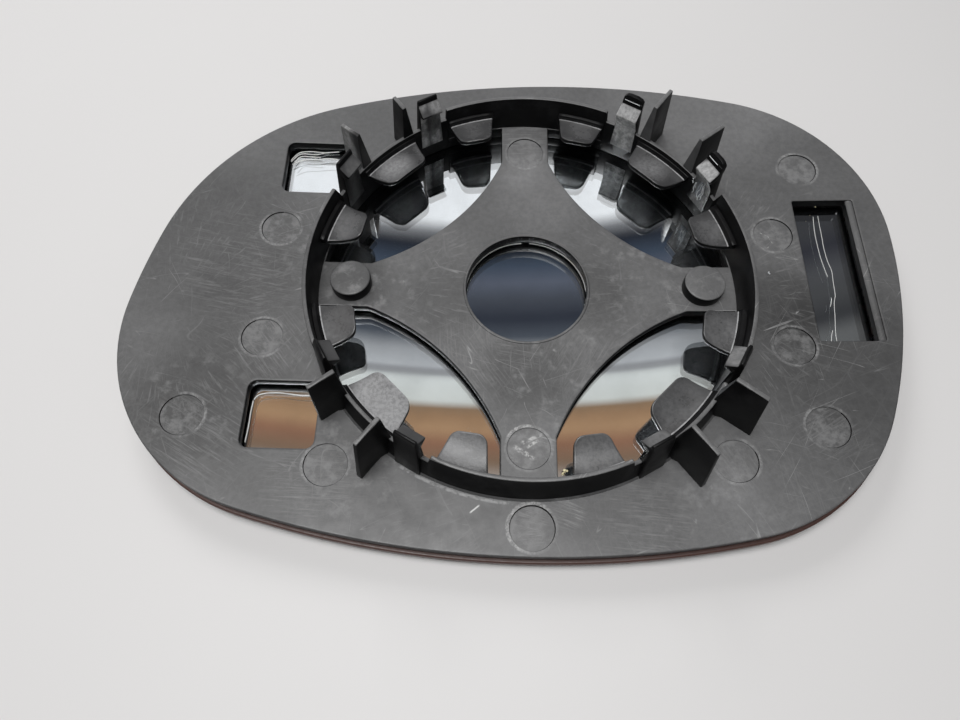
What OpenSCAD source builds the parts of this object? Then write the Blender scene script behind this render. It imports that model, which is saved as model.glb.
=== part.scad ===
/* [Mirror outline] */
// Length of the moulded plate, across the car
plate_l = 152.6; // [148:0.2:160]
// Radius of the convex mirror glass
curve_r = 1300; // [1100:50:2000]
// Thickness of the moulded plate
plate_t = 2.0; // [1.8:0.1:2.4]
// Thickness of the adhesive film
film_t = 0.7; // [0.4:0.1:1]
// Thickness of the glass
glass_t = 2.0; // [1.6:0.1:2.6]

/* [Snap ring] */
// Inner radius of the snap ring, which goes over the actuator's cup
ring_r = 41.3; // [40.8:0.1:42]
// Height of the ring's four tall stretches above the plate's middle
ring_h = 8.5; // [7.8:0.1:9.4]
// Height of the low stretches that carry the corner tabs
low_h = 6.3; // [5.8:0.1:6.8]
// Thickness of the ring's rim
rim_t = 0.8; // [0.7:0.1:1]

/* [Fingers] */
// Height of a spring tab's tip
tab_h = 6.0; // [5.6:0.1:6.6]
// Reach of a spring tab inward from the ring's inner face
tab_reach = 7.1; // [6.4:0.1:7.4]
// Height of a hook's lip
hook_h = 13.9; // [13:0.1:15]
// Width of a hook's head
hook_w = 4.3; // [3.8:0.1:4.6]
// Height of the guide fins outside the ring
fin_h = 14.7; // [13.5:0.1:15.5]
// Thickness of a fin along its top edge
fin_t = 0.8; // [0.7:0.1:1]

/* [Spider] */
// Radius of the hole in the middle
hole_r = 12.2; // [11.8:0.1:12.8]
// Width of the four arms
arm_w = 10.2; // [9:0.2:11]
// Height of the two stop bosses above the plate's middle
boss_h = 2.9; // [2.4:0.1:3.4]
// Radius of the stop bosses and of the ejector marks
pin_r = 4.0; // [3.6:0.1:4.2]

/* [Hidden] */
$fn = 72;
eps = 0.02;
far = 300;

// The drawn length of the outline, which plate_l scales
drawn_l = 152.6;
size = plate_l / drawn_l;

// Turn and radius of each arc of the outline, anticlockwise from the upper right.
// A radius of 0 marks the two arcs that are worked out so that the outline closes.
outline_arcs = [[31, 0], [50, 51], [8, 112], [91, 41], [24, 196], [60, 43], [19, 0], [77, 38.5]];
outline_start = [44.9, 49.0];
outline_heading = 166;

// The glass is a little larger than the plate and was stuck on slightly off centre
glass_over = 0.3;
glass_shift = [0.35, -0.35];
film_inset = 1.2;

function total(v, i = 0) = i >= len(v) ? 0 : v[i] + total(v, i + 1);
function total2(v, i = 0) = i >= len(v) ? [0, 0] : v[i] + total2(v, i + 1);
function cross2(a, b) = a.x * b.y - a.y * b.x;

// Heading at the start of arc i, and the chord of that arc for a radius of 1
function heading(i) = outline_heading + (i == 0 ? 0 : total([for (k = [0 : i - 1]) outline_arcs[k][0]]));
function chord(i, turn) = [sin(heading(i) + turn) - sin(heading(i)), cos(heading(i)) - cos(heading(i) + turn)];

// The two radii that close the outline: the top, arc 0, and the right side, arc 6
top_arc = 0;
side_arc = 6;
drawn_chords = total2([for (i = [0 : len(outline_arcs) - 1])
    outline_arcs[i][1] * chord(i, outline_arcs[i][0])]);
top_chord = chord(top_arc, outline_arcs[top_arc][0]);
side_chord = chord(side_arc, outline_arcs[side_arc][0]);
top_r = cross2(-drawn_chords, side_chord) / cross2(top_chord, side_chord);
side_r = cross2(top_chord, -drawn_chords) / cross2(top_chord, side_chord);
function arc_r(i) = i == top_arc ? top_r : i == side_arc ? side_r : outline_arcs[i][1];

// Straight steps in arc i, finer on wide arcs so that all of them come equally close to the curve
arc_fine = 32;
function arc_n(i) = ceil(outline_arcs[i][0] * sqrt(arc_r(i)) / arc_fine);

// Points of the outline, moved outward by grow
function corner(i, grow) = i == 0
    ? outline_start * size + grow * [sin(outline_heading), -cos(outline_heading)]
    : corner(i - 1, grow) + (arc_r(i - 1) * size + grow) * chord(i - 1, outline_arcs[i - 1][0]);
function outline(grow) = [for (i = [0 : len(outline_arcs) - 1])
    let (turn = outline_arcs[i][0], n = arc_n(i), start = corner(i, grow))
    for (k = [0 : n - 1]) start + (arc_r(i) * size + grow) * chord(i, turn * k / n)];

// Points of a polygon whose corners are rounded, each by its own radius
function unit(v) = v / norm(v);
function round_corner(a, b, c, r) =
    let (u = unit(a - b), w = unit(c - b), half = acos(u * w) / 2, m = unit(u + w),
         centre = b + m * r / sin(half), n = ceil((180 - 2 * half) / 22),
         side = cross2(u, w) > 0 ? 1 : -1, sweep = side * (180 - 2 * half),
         start = centre + (b + u * r / tan(half) - centre))
    r == 0 ? [b] : [for (k = [0 : n]) centre + turned(start - centre, -sweep * k / n)];
function turned(v, a) = [v.x * cos(a) - v.y * sin(a), v.x * sin(a) + v.y * cos(a)];
function rounded(p, r) = [for (i = [0 : len(p) - 1])
    each round_corner(p[(i + len(p) - 1) % len(p)], p[i], p[(i + 1) % len(p)], r[i])];

// Rise of the dished plate at a distance from the middle, since it follows the convex glass
function dish(r) = curve_r - sqrt(curve_r * curve_r - r * r);
dish_r = 100;
dish_rings = 5;
dish_line = [for (k = [0 : dish_rings]) dish_r * k / dish_rings];

// A dished layer whose top is at the height top and whose bottom is at the height bottom
module layer(top, bottom) {
    rotate_extrude($fn = 48)
        polygon(concat([for (r = dish_line) [r, bottom + dish(r)]],
                       [for (k = [dish_rings : -1 : 0]) [dish_line[k], top + dish(dish_line[k])]]));
}

// Windows through the plate: two beside the ring on the left, and a tall one near the right end,
// which has a shallow ledge along its outer side
window_gap = 2.5;
left_window_x = -ring_r + window_gap;
left_window = [left_window_x + 52.2, 13.1] * size;
left_window_at = [for (y = [22.3, -34.7]) [left_window_x - left_window.x, y * size]];
left_window_corner = 1.6;
right_window = [11.2, 33.0] * size;
right_window_at = [56.3, -11.7] * size;
right_window_corner = 0.4;
ledge_w = 1.2;
ledge_deep = 0.4;

module box2(at, wide, r) {
    polygon(rounded([at, at + [wide.x, 0], at + wide, at + [0, wide.y]], [r, r, r, r]));
}

module windows(grow) {
    for (at = left_window_at)
        box2(at - [grow, grow], left_window + 2 * [grow, grow], left_window_corner + grow);
    box2(right_window_at - [grow, grow], right_window + 2 * [grow, grow], right_window_corner + grow);
}

// The four openings between the arms, each bounded by the ring, two arms and the hub's curve
hub_r = ring_r + 5.8;
hub_at = ring_r + 7.6;
ring_ledge = 0.4;
module openings(grow) {
    for (a = [0, 90, 180, 270])
        rotate(a)
            intersection() {
                circle(ring_r - ring_ledge + grow);
                translate([hub_at, hub_at])
                    circle(hub_r + grow);
                translate([arm_w / 2 - grow, arm_w / 2 - grow])
                    square(far);
            }
}

// The snap ring's section, with its outer face drawn in towards the rim
ring_base_t = 1.9;
cove = 0.5;
sink = 0.8;
function ring_section(h) = [
    [ring_r, -sink], [ring_r + ring_base_t + cove, -sink], [ring_r + ring_base_t + cove, dish(ring_r)],
    [ring_r + ring_base_t, dish(ring_r) + cove], [ring_r + rim_t, h], [ring_r, h]];

// Half the angle of each tall stretch, centred on the arms
tall_half = 24;
module ring() {
    rotate_extrude()
        polygon(ring_section(low_h));
    for (a = [0, 90, 180, 270])
        rotate(a - tall_half)
            rotate_extrude(angle = 2 * tall_half)
                polygon(ring_section(ring_h));
}

// Spring tabs, cut from one bowl-shaped band by their plan outlines
tab_t = 1.2;
tab_rise = 1.2;
tab_root_h = tab_h - tab_rise;
tab_sag = 0.55;
tab_in = ring_r - tab_reach;
tab_steps = 5;
function tab_top(s) = tab_root_h + tab_rise * s - 4 * tab_sag * s * (1 - s);
module bowl() {
    top = [for (k = [0 : tab_steps]) let (s = k / tab_steps) [ring_r - tab_reach * s, tab_top(s)]];
    rotate_extrude()
        polygon(concat([[ring_r + rim_t / 2, tab_root_h]], top,
                       [for (k = [tab_steps : -1 : 0]) top[k] - [0, tab_t]],
                       [[ring_r + rim_t / 2, tab_root_h - tab_t]]));
}

// Plan outlines: a wide tab on each diagonal, and narrower ones either side of each arm
tab_end = ring_r + rim_t;
corner_tab = [[tab_end, -7.0], [tab_end, 7.0], [tab_in, 4.6], [tab_in, -4.6]];
corner_tab_r = [0, 0, 2.4, 2.4];
tab_near = arm_w / 2 + 2.1;
side_tab = [[tab_end, tab_near], [tab_in - 1, tab_near + 0.3], [tab_in - 2, 13.6], [ring_r - 0.5, 18.4]];
side_tab_r = [0, 2.0, 2.0, 0];

module tab_plan() {
    for (a = [0, 90, 180, 270]) {
        rotate(a + 45)
            polygon(rounded(corner_tab, corner_tab_r));
        rotate(a)
            for (side = [0, 1])
                mirror([0, side])
                    polygon(rounded(side_tab, side_tab_r));
    }
}

module tabs() {
    intersection() {
        bowl();
        linear_extrude(far)
            tab_plan();
    }
}

// Hooks: a post with a nose that leans inward, a ramp above it and a thin lip behind
hook_angle = 29.8;
nose_reach = 1.6;
nose_r = ring_r - nose_reach;
nose_t = 0.5;
ramp_r = ring_r + 0.3;
ramp_h = hook_h - 1.2;
nose_h = ramp_h - 1.5;
lip_t = 0.6;
lip_round = 0.6;
post_foot = 2.4;
post_draft = 1.1;

// Two of the hooks carry a taller crown, which starts behind the thin lip
crown_rise = 1.1;
crown_step = 0.35;
crown_t = 0.9;
function hook_top(crown) = crown
    ? [[ramp_r + crown_step + crown_t, hook_h], [ramp_r + crown_step + crown_t - 0.3, hook_h + crown_rise],
       [ramp_r + crown_step + 0.1, hook_h + crown_rise], [ramp_r + crown_step, hook_h], [ramp_r + 0.1, hook_h]]
    : [[ramp_r + lip_t + 0.4, hook_h - 0.9], [ramp_r + lip_t, hook_h], [ramp_r + 0.1, hook_h]];
function hook_profile(crown) = concat(
    [[ring_r, -sink], [ring_r + post_foot, -sink], [ring_r + post_foot, dish(ring_r)]],
    hook_top(crown),
    [[ramp_r, ramp_h], [nose_r, nose_h], [nose_r, nose_h - nose_t], [ring_r, nose_h - nose_t - 0.6]]);

module upright(profile) {
    rotate([90, 0, 0])
        linear_extrude(far, center = true)
            polygon(profile);
}

// A wall that tapers from the width foot at the plate to the width head at the height h,
// with its top corners cut off by the length cut
module taper(foot, head, h, cut) {
    rotate([90, 0, 90])
        linear_extrude(far)
            polygon([[-foot / 2, -sink - eps], [foot / 2, -sink - eps], [head / 2, h - cut],
                     [head / 2 - cut, h + eps], [cut - head / 2, h + eps], [-head / 2, h - cut]]);
}

module hook(crown) {
    top = hook_h + (crown ? crown_rise : 0);
    intersection() {
        upright(hook_profile(crown));
        taper(hook_w + post_draft, hook_w, top, lip_round);
    }
}

// Guide fins: thin plates standing out from the ring along its radii. Each row holds a fin's
// direction, how far its inner edge, its outer corner and its foot lie beyond the ring's inner
// face, and how much lower than the others it ends. Those beside the left windows are short.
fins = [
    [37.1, 1.1, 7.0, 8.9, 0], [52.9, 1.1, 7.0, 8.9, 0], [127.1, 0.7, 4.6, 6.3, 0.7], [142.9, 1.1, 5.7, 6.3, 0],
    [217.1, 0.6, 5.8, 6.6, 0], [232.9, 0.6, 6.4, 8.5, 0], [307.1, 1.2, 6.8, 8.9, 0], [322.9, 1.2, 6.8, 8.9, 0]];
fin_draft = 0.5;

// Each fin's root flares sideways, from the fin's own thickness at its top
flare_w = 4.4;
flare_reach = 4.2;
flare_h = 0.6;

module fin(in, out, foot, drop) {
    top = fin_h - drop;
    profile = [[ring_r + 0.3, -sink], [foot, -sink], [foot, dish(foot)], [out, top], [in, top], [ring_r + 0.3, low_h]];
    intersection() {
        upright(profile);
        taper(fin_t + fin_draft, fin_t, top, 0.1);
    }
    intersection() {
        upright(profile);
        taper(flare_w, fin_t - 0.1, top - flare_h, 0);
        linear_extrude(far, center = true)
            polygon([[ring_r, -flare_w / 2], [ring_r, flare_w / 2], [in + flare_reach, 0]]);
    }
}

// Directions of the hooks, on each side of every diagonal
function either_side(a) = [for (q = [0, 90, 180, 270], side = [-1, 1]) q + 45 + side * (45 - a)];

// Ejector marks: distance right and away from the middle
marks = [
    [-51.0, 12.9], [-51.2, -12.5], [-63.2, -28.9], [-36.2, -37.6], [36.9, -35.7], [54.3, -29.2],
    [51.2, -12.7], [58.7, 29.5], [51.1, 12.8], [-58.5, 30.5], [0.3, 51.4], [36.6, 37.6],
    [0, ring_r - 7.2], [0, 7.5 - ring_r]];
mark_deep = 0.2;
cup_at = [0.4, -48.1];
cup_deep = 0.6;

module skin(deep) {
    intersection() {
        layer(2, -deep);
        linear_extrude(far, center = true)
            children();
    }
}

boss_x = ring_r - 6.2;
module bosses() {
    edge = 0.3;
    for (side = [-1, 1])
        translate([side * boss_x, 0])
            rotate_extrude($fn = 48)
                polygon([[0, -sink], [pin_r, -sink], [pin_r, boss_h - edge], [pin_r - edge, boss_h], [0, boss_h]]);
}

// A low bead round the hole in the middle
bead_w = 0.4;
bead_h = 0.15;
module bead() {
    rotate_extrude()
        polygon([[hole_r, -sink], [hole_r + bead_w + bead_h, -sink], [hole_r + bead_w + bead_h, dish(hole_r)],
                 [hole_r + bead_w, dish(hole_r) + bead_h], [hole_r, dish(hole_r) + bead_h]]);
}

module plate() {
    difference() {
        intersection() {
            layer(0, -plate_t);
            linear_extrude(far, center = true)
                difference() {
                    polygon(outline(0));
                    windows(0);
                    openings(0);
                    circle(hole_r);
                }
        }
        skin(mark_deep)
            for (at = marks)
                translate(at)
                    circle(pin_r, $fn = 48);
        skin(cup_deep)
            translate(cup_at)
                circle(pin_r, $fn = 48);
        skin(ledge_deep)
            translate(right_window_at + [right_window.x - eps, 0])
                square([ledge_w + eps, right_window.y]);
    }
}

module backing_plate() {
    color([0.13, 0.13, 0.14]) {
        plate();
        bead();
        bosses();
        ring();
        tabs();
        for (a = either_side(hook_angle))
            rotate(a)
                hook(crown = a < 90);
        for (f = fins)
            rotate(f[0])
                fin(ring_r + f[1], ring_r + f[2], ring_r + f[3], f[4]);
    }
}

module adhesive_film() {
    color([0.75, 0.74, 0.7])
        intersection() {
            layer(-plate_t, -plate_t - film_t);
            linear_extrude(far, center = true)
                difference() {
                    polygon(outline(-film_inset));
                    windows(film_inset / 2);
                    openings(film_inset / 2);
                    circle(hole_r + film_inset / 2);
                }
        }
}

module mirror_glass() {
    color([0.6, 0.68, 0.75])
        intersection() {
            layer(-plate_t - film_t, -plate_t - film_t - glass_t);
            translate(glass_shift)
                linear_extrude(far, center = true)
                    polygon(outline(glass_over));
        }
}

backing_plate();
adhesive_film();
mirror_glass();
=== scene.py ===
"""Convex glass of a car's door mirror on its moulded holder, lying glass down."""

import logging
import math
import random
from dataclasses import dataclass, field
from enum import Enum
from typing import Callable, Iterable, Sequence

import bpy
import bmesh
from mathutils import Matrix, Vector
from mathutils.geometry import delaunay_2d_cdt


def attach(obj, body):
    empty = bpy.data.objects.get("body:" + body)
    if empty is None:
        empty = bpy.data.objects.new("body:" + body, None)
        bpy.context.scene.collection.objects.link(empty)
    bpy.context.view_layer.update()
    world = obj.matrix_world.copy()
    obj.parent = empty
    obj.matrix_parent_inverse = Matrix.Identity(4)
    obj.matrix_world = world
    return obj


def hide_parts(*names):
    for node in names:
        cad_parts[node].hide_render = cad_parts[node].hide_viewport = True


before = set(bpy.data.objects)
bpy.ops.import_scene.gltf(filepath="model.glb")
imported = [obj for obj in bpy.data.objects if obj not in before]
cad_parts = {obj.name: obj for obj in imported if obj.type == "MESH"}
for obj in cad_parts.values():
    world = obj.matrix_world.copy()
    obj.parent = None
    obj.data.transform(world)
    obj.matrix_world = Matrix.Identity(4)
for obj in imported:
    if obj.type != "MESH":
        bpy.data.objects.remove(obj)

LOG = logging.getLogger("mirror")
MM = 0.001
BODY = "root"

Point = tuple[float, float]
Loop = list[Point]
Height = Callable[[float, float], float]


# Plan shapes


def turned(p: Point, degrees: float) -> Point:
    """Returns the point turned anticlockwise about the origin."""
    a = math.radians(degrees)
    return (p[0] * math.cos(a) - p[1] * math.sin(a), p[0] * math.sin(a) + p[1] * math.cos(a))


def arc(centre: Point, r: float, start: float, sweep: float, steps: int) -> Loop:
    """Points on an arc, both ends included.

    Args:
        centre: Centre of the arc, in mm.
        r: Radius, in mm.
        start: Direction of the first point, in degrees.
        sweep: Signed angle to the last point, in degrees.
        steps: Number of straight steps.

    Returns:
        The points in order.
    """
    angles = (math.radians(start + sweep * k / steps) for k in range(steps + 1))
    return [(centre[0] + r * math.cos(a), centre[1] + r * math.sin(a)) for a in angles]


def circle(centre: Point, r: float, steps: int = 64) -> Loop:
    """Returns a circle as a loop without a doubled end."""
    return arc(centre, r, 0, 360, steps)[:-1]


def rounded(points: Sequence[Point], radii: Sequence[float], steps: int = 6) -> Loop:
    """Rounds the corners of a polygon.

    Args:
        points: The corners in order, in mm.
        radii: One radius for each corner, 0 for a sharp one.
        steps: Straight steps in each rounded corner.

    Returns:
        The rounded loop.
    """
    out: Loop = []
    count = len(points)
    for i, (p, r) in enumerate(zip(points, radii)):
        b = Vector(p)
        u = (Vector(points[i - 1]) - b).normalized()
        w = (Vector(points[(i + 1) % count]) - b).normalized()
        if r <= 0:
            out.append(p)
            continue
        half = u.angle(w) / 2
        centre = b + (u + w).normalized() * r / math.sin(half)
        start = b + u * r / math.tan(half) - centre
        sweep = math.pi - 2 * half
        side = 1 if u.x * w.y - u.y * w.x > 0 else -1
        for k in range(steps + 1):
            q = turned(tuple(start), math.degrees(-side * sweep * k / steps))
            out.append((centre.x + q[0], centre.y + q[1]))
    return out


def box_loop(low: Point, high: Point, r: float) -> Loop:
    """Returns a rectangle with rounded corners, anticlockwise."""
    corners = [low, (high[0], low[1]), high, (low[0], high[1])]
    return rounded(corners, [r] * 4)


def area(loop: Loop) -> float:
    """Returns the signed area of a loop, positive when anticlockwise."""
    return sum(a[0] * b[1] - b[0] * a[1] for a, b in zip(loop, loop[1:] + loop[:1])) / 2


def inside(p: Point, loop: Loop) -> bool:
    """Returns True if the point lies inside the loop."""
    hit = False
    x, y = p
    for (x0, y0), (x1, y1) in zip(loop, loop[1:] + loop[:1]):
        if (y0 > y) != (y1 > y) and x < x0 + (x1 - x0) * (y - y0) / (y1 - y0):
            hit = not hit
    return hit


def shifted(loop: Loop, inward: float) -> Loop:
    """Moves a loop's points along the normals at its corners.

    Args:
        loop: The loop, in mm.
        inward: How far to move towards the inside, negative for outward.

    Returns:
        The moved loop, with the same number of points.
    """
    sign = 1 if area(loop) > 0 else -1
    out: Loop = []
    for a, b, c in zip(loop[-1:] + loop[:-1], loop, loop[1:] + loop[:1]):
        u = (Vector(b) - Vector(a)).normalized()
        w = (Vector(c) - Vector(b)).normalized()
        n = Vector((-u.y - w.y, u.x + w.x)) * sign
        if n.length < 1e-9:
            n = Vector((-u.y, u.x)) * sign
        n.normalize()
        reach = inward / max(0.35, n.dot(Vector((-u.y, u.x)) * sign))
        out.append((b[0] + n.x * reach, b[1] + n.y * reach))
    return out


@dataclass(frozen=True)
class MirrorOutline:
    """The plate's outline: a closed chain of arcs that meet smoothly.

    The radii of the arcs named by solved are worked out so that the chain closes.
    """

    turns: tuple[float, ...] = (31.9, 57.4, 7.7, 81.2, 27.8, 54.9, 23.6, 75.5)
    radii: tuple[float, ...] = (0, 50.1, 125.3, 37.0, 190.3, 37.2, 0, 37.0)
    solved: tuple[int, int] = (0, 6)
    start: Point = (46.8, 48.5)
    heading: float = 165.7

    def chord(self, i: int, turn: float) -> Vector:
        """Returns the chord of arc i for a radius of 1 and that turn."""
        h = math.radians(self.heading + sum(self.turns[:i]))
        t = h + math.radians(turn)
        return Vector((math.sin(t) - math.sin(h), math.cos(h) - math.cos(t)))

    def closed_radii(self) -> list[float]:
        """Returns all radii, with the two solved ones filled in."""
        known = sum((self.radii[i] * self.chord(i, t) for i, t in enumerate(self.turns)), Vector((0, 0)))
        first, second = (self.chord(i, self.turns[i]) for i in self.solved)
        det = first.x * second.y - first.y * second.x
        out = list(self.radii)
        out[self.solved[0]] = (-known.x * second.y + known.y * second.x) / det
        out[self.solved[1]] = (-first.x * known.y + first.y * known.x) / det
        return out

    def loop(self, grow: float = 0.0, step: float = 2.0) -> Loop:
        """Points of the outline.

        Args:
            grow: How far outside the plate's own edge, in mm.
            step: Longest step, in mm.

        Returns:
            The loop, anticlockwise.
        """
        h = math.radians(self.heading)
        at = Vector(self.start) + grow * Vector((math.sin(h), -math.cos(h)))
        out: Loop = []
        for i, (turn, r) in enumerate(zip(self.turns, self.closed_radii())):
            count = max(2, math.ceil(math.radians(turn) * (r + grow) / step))
            out += [tuple(at + (r + grow) * self.chord(i, turn * k / count)) for k in range(count)]
            at = at + (r + grow) * self.chord(i, turn)
        return out


@dataclass(frozen=True)
class Dish:
    """The ball-shaped surface that the convex glass and the plate follow."""

    radius: float = 1300.0

    def at(self, x: float, y: float) -> float:
        """Returns the rise above the middle at a point of the plan, in mm."""
        return self.radius - math.sqrt(self.radius**2 - x * x - y * y)

    def level(self, offset: float) -> Height:
        """Returns the height function of a surface that lies offset above the dish."""
        return lambda x, y: self.at(x, y) + offset


OUTLINE = MirrorOutline()
DISH = Dish()


def regions(faces: Sequence[tuple[int, ...]], fences: set[frozenset[int]]) -> list[list[tuple[int, ...]]]:
    """Groups faces that touch across edges which aren't fences.

    Args:
        faces: The faces, as indices of their corners.
        fences: Pairs of corners that part one group from the next.

    Returns:
        The groups.
    """
    sides: dict[frozenset[int], list[int]] = {}
    for k, f in enumerate(faces):
        for a, b in zip(f, f[1:] + f[:1]):
            sides.setdefault(frozenset((a, b)), []).append(k)
    near: dict[int, list[int]] = {k: [] for k in range(len(faces))}
    for side, pair in sides.items():
        if side not in fences and len(pair) == 2:
            near[pair[0]].append(pair[1])
            near[pair[1]].append(pair[0])
    seen: set[int] = set()
    groups = []
    for k in near:
        if k in seen:
            continue
        seen.add(k)
        group, todo = [], [k]
        while todo:
            at = todo.pop()
            group.append(faces[at])
            todo += [n for n in near[at] if n not in seen]
            seen.update(near[at])
        groups.append(group)
    return groups


# Mesh makers


def to_object(name: str, mesh: bmesh.types.BMesh) -> bpy.types.Object:
    """Turns a mesh in mm into a scene object in metres.

    Args:
        name: Name for the object.
        mesh: The mesh, which is freed.

    Returns:
        The linked object.
    """
    bmesh.ops.remove_doubles(mesh, verts=mesh.verts, dist=1e-4)
    bmesh.ops.recalc_face_normals(mesh, faces=mesh.faces)
    bmesh.ops.scale(mesh, vec=(MM, MM, MM), verts=mesh.verts)
    data = bpy.data.meshes.new(name)
    mesh.to_mesh(data)
    mesh.free()
    obj = bpy.data.objects.new(name, data)
    bpy.context.scene.collection.objects.link(obj)
    return obj


def baked(obj: bpy.types.Object, sharp: float = 40.0) -> bpy.types.Object:
    """Applies an object's modifiers and shades it smooth up to an angle.

    Args:
        obj: The object to bake.
        sharp: Edges steeper than this, in degrees, stay sharp.

    Returns:
        The same object with a plain mesh.
    """
    graph = bpy.context.evaluated_depsgraph_get()
    data = bpy.data.meshes.new_from_object(obj.evaluated_get(graph), depsgraph=graph)
    obj.modifiers.clear()
    obj.data = data
    data.shade_smooth()
    data.set_sharp_from_angle(angle=math.radians(sharp))
    return obj


def softened(obj: bpy.types.Object, width: float, segments: int = 2) -> bpy.types.Object:
    """Rounds an object's sharp edges and bakes the result.

    Args:
        obj: The object.
        width: Width of the rounding, in mm.
        segments: Faces across each rounding.

    Returns:
        The same object.
    """
    bevel = obj.modifiers.new("round", "BEVEL")
    bevel.width = width * MM
    bevel.segments = segments
    bevel.limit_method = "ANGLE"
    bevel.angle_limit = math.radians(28)
    bevel.miter_outer = "MITER_ARC"
    weigh = obj.modifiers.new("weigh", "WEIGHTED_NORMAL")
    weigh.keep_sharp = True
    return baked(obj)


def joined(name: str, parts: Iterable[bpy.types.Object]) -> bpy.types.Object:
    """Joins objects into one.

    Args:
        name: Name of the result.
        parts: The objects, which are used up.

    Returns:
        The joined object.
    """
    parts = list(parts)
    with bpy.context.temp_override(
        active_object=parts[0], object=parts[0], selected_objects=parts, selected_editable_objects=parts
    ):
        bpy.ops.object.join()
    parts[0].name = name
    parts[0].data.name = name
    return parts[0]


@dataclass
class Edge:
    """A rounded edge of a slab: inset from the side wall and drop from the face, step by step."""

    r: float = 0.25
    steps: int = 3
    support: float = 0.15

    def profile(self) -> list[tuple[float, float]]:
        """Returns (inset, drop) pairs from the face to the side wall."""
        angles = [math.pi / 2 * k / self.steps for k in range(self.steps + 1)]
        turn = [(self.r * (1 - math.sin(a)), self.r * (1 - math.cos(a))) for a in angles]
        return [(self.r + self.support, 0.0)] + turn


@dataclass
class Recess:
    """A shallow round sink in a slab's upper face."""

    at: Point
    r: float
    deep: float
    wall: float = 0.12

    def rings(self) -> list[tuple[Loop, float]]:
        """Returns the loops from the face down to the floor, each with its depth."""
        stages = [(self.r + 0.15, 0.0), (self.r, 0.0), (self.r - self.wall, self.deep), (self.r - self.wall - 0.2, self.deep)]
        return [(circle(self.at, r, 40), deep) for r, deep in stages]


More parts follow.
